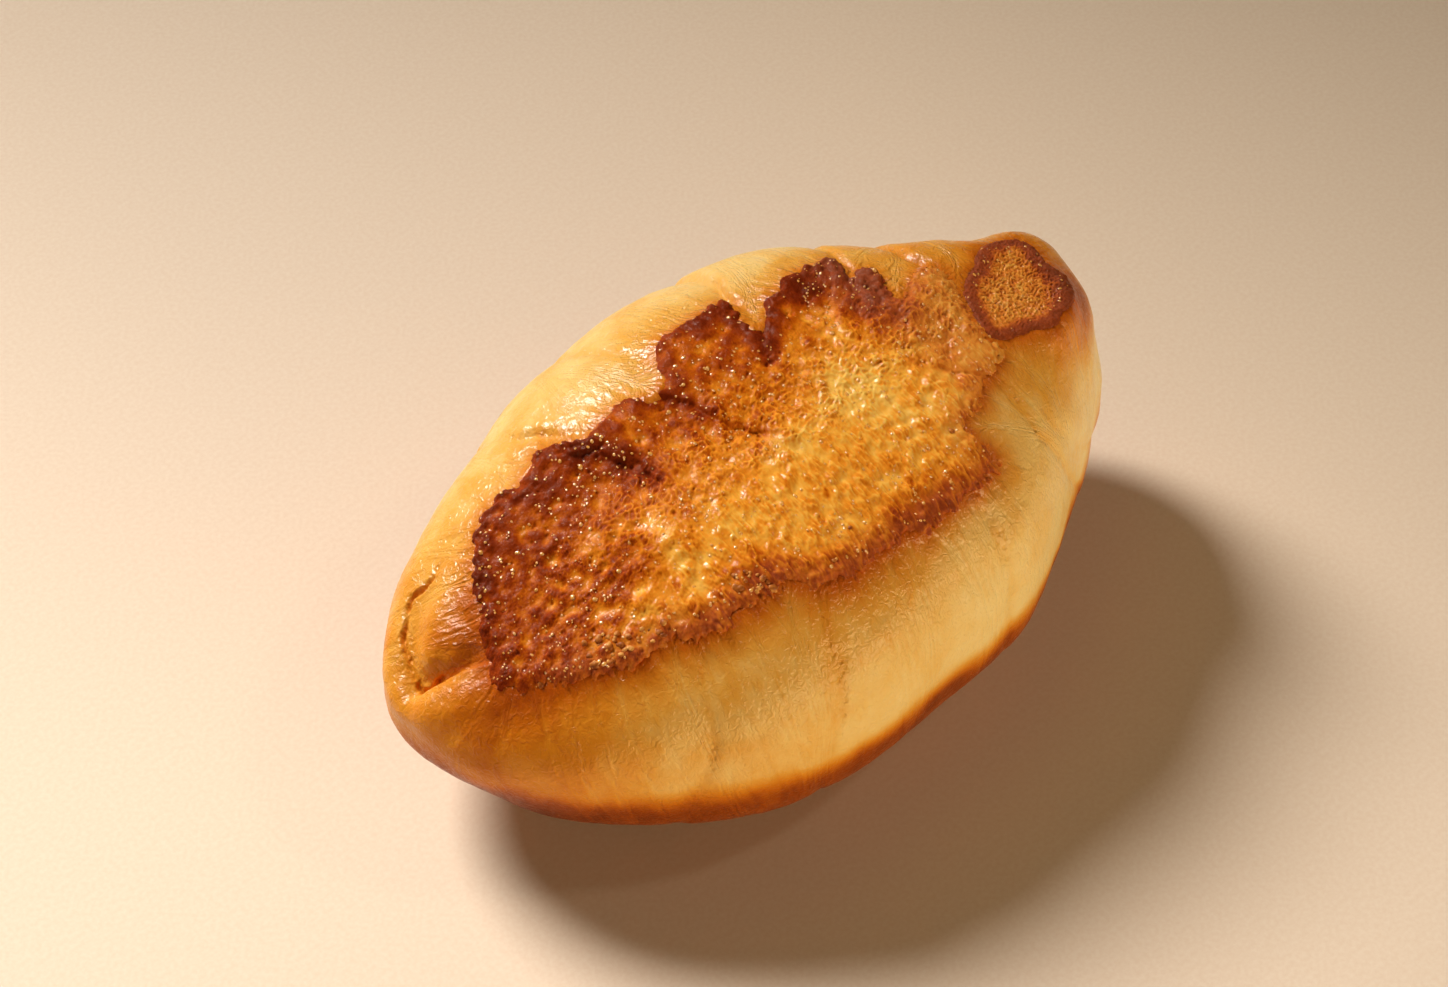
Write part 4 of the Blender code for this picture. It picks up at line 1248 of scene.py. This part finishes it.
# Every pattern adds its share to the bake, which then picks the colour.
uneven_bake = -0.22
for node, output, share in (
    (bake, "Fac", 1.0), (streaks, "Fac", 0.20), (clouds, "Fac", 0.20), (grain, "Fac", 0.08),
    (seam_pits, 0, 0.06),
):
    uneven_bake = (add(skin_look, "Math", {"operation": "MULTIPLY_ADD"},
                       i0=(node, output), i1=share, i2=uneven_bake), 0)
skin_colour = add(skin_look, "ValToRGB", Fac=uneven_bake, stops=(
    (0.00, "#F8D895"),
    (0.16, "#F4C674"),
    (0.32, "#ECA945"),
    (0.50, "#E08C20"),
    (0.68, "#C86A0C"),
    (0.84, "#9E4606"),
    (1.00, "#6A2805"),
))
# The orange mix next to the crust is partly butter colour and partly a painted glow of light
# through the dough; on the far seams it is painted crease shade.
skin_colour_with_painted_light = add(skin_look, "Mix", {"data_type": "RGBA"}, i0=(glow, "Fac"),
              i6=(skin_colour, "Color"), i7=linear("#BE5206"))
shine = add(skin_look, "MapRange", Value=(grain, "Fac"),
            From_Min=0.3, From_Max=0.7, To_Min=0.28, To_Max=0.55)
wet_strength = add(skin_look, "MapRange", Value=(wet_zone, "Fac"), To_Min=0.35, To_Max=1.0)
streak_bump = add(skin_look, "Bump", Height=(streaks, "Fac"), Strength=(wet_strength, 0),
                  Distance=0.55 * MM)
grain_bump = add(skin_look, "Bump", Height=(grain, "Fac"), Strength=0.8, Distance=0.26 * MM,
                 Normal=(streak_bump, "Normal"))
pit_bump = add(skin_look, "Bump", {"invert": True}, Height=(seam_pits, 0), Strength=0.8,
               Distance=0.18 * MM, Normal=(grain_bump, "Normal"))
link(skin_look, skin_colour_with_painted_light, 2, shader, "Base Color")
link(skin_look, shine, 0, shader, "Roughness")
link(skin_look, gloss, "Fac", shader, "Coat Weight")
link(skin_look, pit_bump, "Normal", shader, "Normal", "Coat Normal")
skin.data.materials.clear()
skin.data.materials.append(skin_look)

# %% [markdown]
# The base is bread fried in butter: golden where it is thin and wet, red-brown where it is crisp,
# darkest on its lip. Its ridges are paler and the pits between them darker: partly the crust's own
# colour, partly painted light on the ridges and painted shade in the pits. Where the crust is pale
# it is wet, and where it is dark it is dry.

# %% The crust's material
crust_look, shader = new_material(
    "butter_fried_crust", Roughness=0.5, Specular_IOR_Level=0.08,
    Specular_Tint=(1.0, 0.65, 0.25, 1.0), Subsurface_Weight=0.12,
    Subsurface_Radius=(1.0, 0.35, 0.12), Subsurface_Scale=0.8 * MM,
    Coat_Weight=0.4, Coat_Roughness=0.06,
)
bake, ridge, pink, strand = (
    add(crust_look, "Attribute", {"attribute_name": name})
    for name in ("bake", "ridge", "pink", "strand")
)
place = add(crust_look, "TexCoord")
drawn = add(crust_look, "Mapping", Vector=(place, "Object"), Scale=(1.0, 0.25, 1.0))
round_noise = add(crust_look, "TexNoise", Vector=(place, "Object"),
                  Scale=1.0 / (0.35 * MM), Detail=2.0, Distortion=0.6)
long_noise = add(crust_look, "TexNoise", Vector=(drawn, "Vector"),
                 Scale=1.0 / (0.32 * MM), Detail=2.0, Distortion=0.3)
fine = add(crust_look, "Mix", {"data_type": "FLOAT"}, i0=(strand, "Fac"),
           i2=(round_noise, "Fac"), i3=(long_noise, "Fac"))
patches = add(crust_look, "TexNoise", Vector=(place, "Object"), Scale=1.0 / (2.2 * MM), Detail=3.0)
# The ridges' share makes them paler and the pits darker, partly as painted light and painted
# shade.
uneven_bake = -0.10
for node, output, share in (
    (bake, "Fac", 1.0), (fine, 0, 0.14), (patches, "Fac", 0.24), (ridge, "Fac", -0.34),
):
    uneven_bake = (add(crust_look, "Math", {"operation": "MULTIPLY_ADD"},
                       i0=(node, output), i1=share, i2=uneven_bake), 0)
crust_colour = add(crust_look, "ValToRGB", Fac=uneven_bake, stops=(
    (0.00, "#F9C058"),
    (0.14, "#F6A93A"),
    (0.28, "#EE9224"),
    (0.42, "#DC7C16"),
    (0.56, "#BE5806"),
    (0.70, "#943404"),
    (0.84, "#742206"),
    (1.00, "#4E1606"),
))
# The pinkish mix is partly the crust's own colour and partly painted sheen.
pink_and_sheen_share = add(crust_look, "Math", {"operation": "MULTIPLY"}, i0=(pink, "Fac"), i1=0.34)
blush_and_painted_sheen = add(crust_look, "Mix", {"data_type": "RGBA"}, i0=(pink_and_sheen_share, 0),
            i6=(crust_colour, "Color"), i7=linear("#B0603C"))
wetness = add(crust_look, "MapRange", Value=(bake, "Fac"),
              From_Min=0.24, From_Max=0.46, To_Min=0.55, To_Max=0.05)
fine_bump = add(crust_look, "Bump", Height=(fine, 0), Strength=0.6, Distance=0.18 * MM)
link(crust_look, blush_and_painted_sheen, 2, shader, "Base Color")
link(crust_look, wetness, 0, shader, "Coat Weight")
link(crust_look, fine_bump, "Normal", shader, "Normal", "Coat Normal")
for piece in (fried_base, knob_disc):
    piece.data.materials.append(crust_look)

# %% [markdown]
# A bead of melted butter is clear and wet, so that it glints. The crumbs are dry toast.

# %% Butter and crumbs
butter_look, _ = new_material(
    "melted_butter_bead", Base_Color=linear("#EFA648"), Roughness=0.12, Coat_Weight=1.0,
    Coat_Roughness=0.05, IOR=1.7, Specular_IOR_Level=1.0,
)
butter_beads.data.materials.append(butter_look)

crumb_look, shader = new_material(
    "toasted_crumb", Roughness=0.5, Specular_IOR_Level=0.2, Coat_Weight=0.1
)
place = add(crumb_look, "TexCoord")
toast = add(crumb_look, "TexNoise", Vector=(place, "Object"), Scale=1.0 / (1.3 * MM))
toasted = add(crumb_look, "ValToRGB", Fac=(toast, "Fac"),
              stops=((0.35, "#8E4614"), (0.5, "#BC6C26"), (0.65, "#E09C4C")))
link(crumb_look, toasted, "Color", shader, "Base Color")
crumbs.data.materials.append(crumb_look)

# %% [markdown]
# ## Floor and light
#
# The bread lies on warm, pale paper. One soft light stands behind it to the left, at 44
# degrees: its direction was found from the shadow. A wide, dim card in front, a small light
# high up at the right and a faint warm glow from all round keep the near side from going
# dark, and give it its gloss.

# %% Floor
bpy.ops.object.select_all(action="DESELECT")
bpy.ops.mesh.primitive_plane_add(size=6.0)
floor = bpy.context.object
floor.name = "floor"
paper_look, shader = new_material("pale_paper", Roughness=0.9)
place = add(paper_look, "TexCoord")
fibres = add(paper_look, "TexNoise", Vector=(place, "Object"), Scale=1.0 / (0.7 * MM), Detail=2.0)
paper = add(paper_look, "ValToRGB", Fac=(fibres, "Fac"),
            stops=((0.3, "#F1D6BA"), (0.7, "#F6DEC4")))
link(paper_look, paper, "Color", shader, "Base Color")
floor.data.materials.append(paper_look)

# %% Lights
KEY_TURN = math.radians(99.0)
KEY_RISE = math.radians(44.0)
KEY_DISTANCE = 0.97
KEY_AIM = (-0.29, -0.24, 0.0)
BREAD_MIDDLE = (0.0, 0.0, 0.03)


def add_light(name, kind, power, colour, place, target, **settings):
    """Sets a light at a place, so that it shines on a target."""
    data = bpy.data.lights.new(name, kind)
    data.energy = power
    data.color = colour
    for setting, value in settings.items():
        setattr(data, setting, value)
    light = bpy.data.objects.new(name, data)
    light.location = place
    light.rotation_euler = (Vector(place) - Vector(target)).to_track_quat("Z", "Y").to_euler()
    bpy.context.scene.collection.objects.link(light)


toward_key = Vector((
    math.cos(KEY_RISE) * math.cos(KEY_TURN),
    math.cos(KEY_RISE) * math.sin(KEY_TURN),
    math.sin(KEY_RISE),
))
add_light("key", "SPOT", 58.0, (1.0, 0.985, 0.96), toward_key * KEY_DISTANCE, KEY_AIM,
          shadow_soft_size=0.20, spot_size=math.radians(56.0), spot_blend=0.49)
add_light("front_card", "AREA", 16.8, (1.0, 0.82, 0.49), (0.15, -1.55, 0.24), BREAD_MIDDLE,
          shape="RECTANGLE", size=1.6, size_y=0.5)
add_light("top_glint", "AREA", 0.62, (1.0, 0.90, 0.74), (0.54, -0.48, 0.97), BREAD_MIDDLE,
          size=0.12)

world = bpy.data.worlds.new("warm_room")
world.use_nodes = True
background = world.node_tree.nodes["Background"]
background.inputs["Color"].default_value = (1.0, 0.86, 0.60, 1.0)
background.inputs["Strength"].default_value = 0.04
bpy.context.scene.world = world
bpy.context.scene.view_settings.view_transform = "Standard"

# %% [markdown]
# ## Riding on the body
#
# Every piece rides on the one body, and the imported solid is hidden.

# %% Ride on the body, hide the solid
for piece in (skin, fried_base, knob_disc, butter_beads, crumbs):
    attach(piece, "root")
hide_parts("bread")
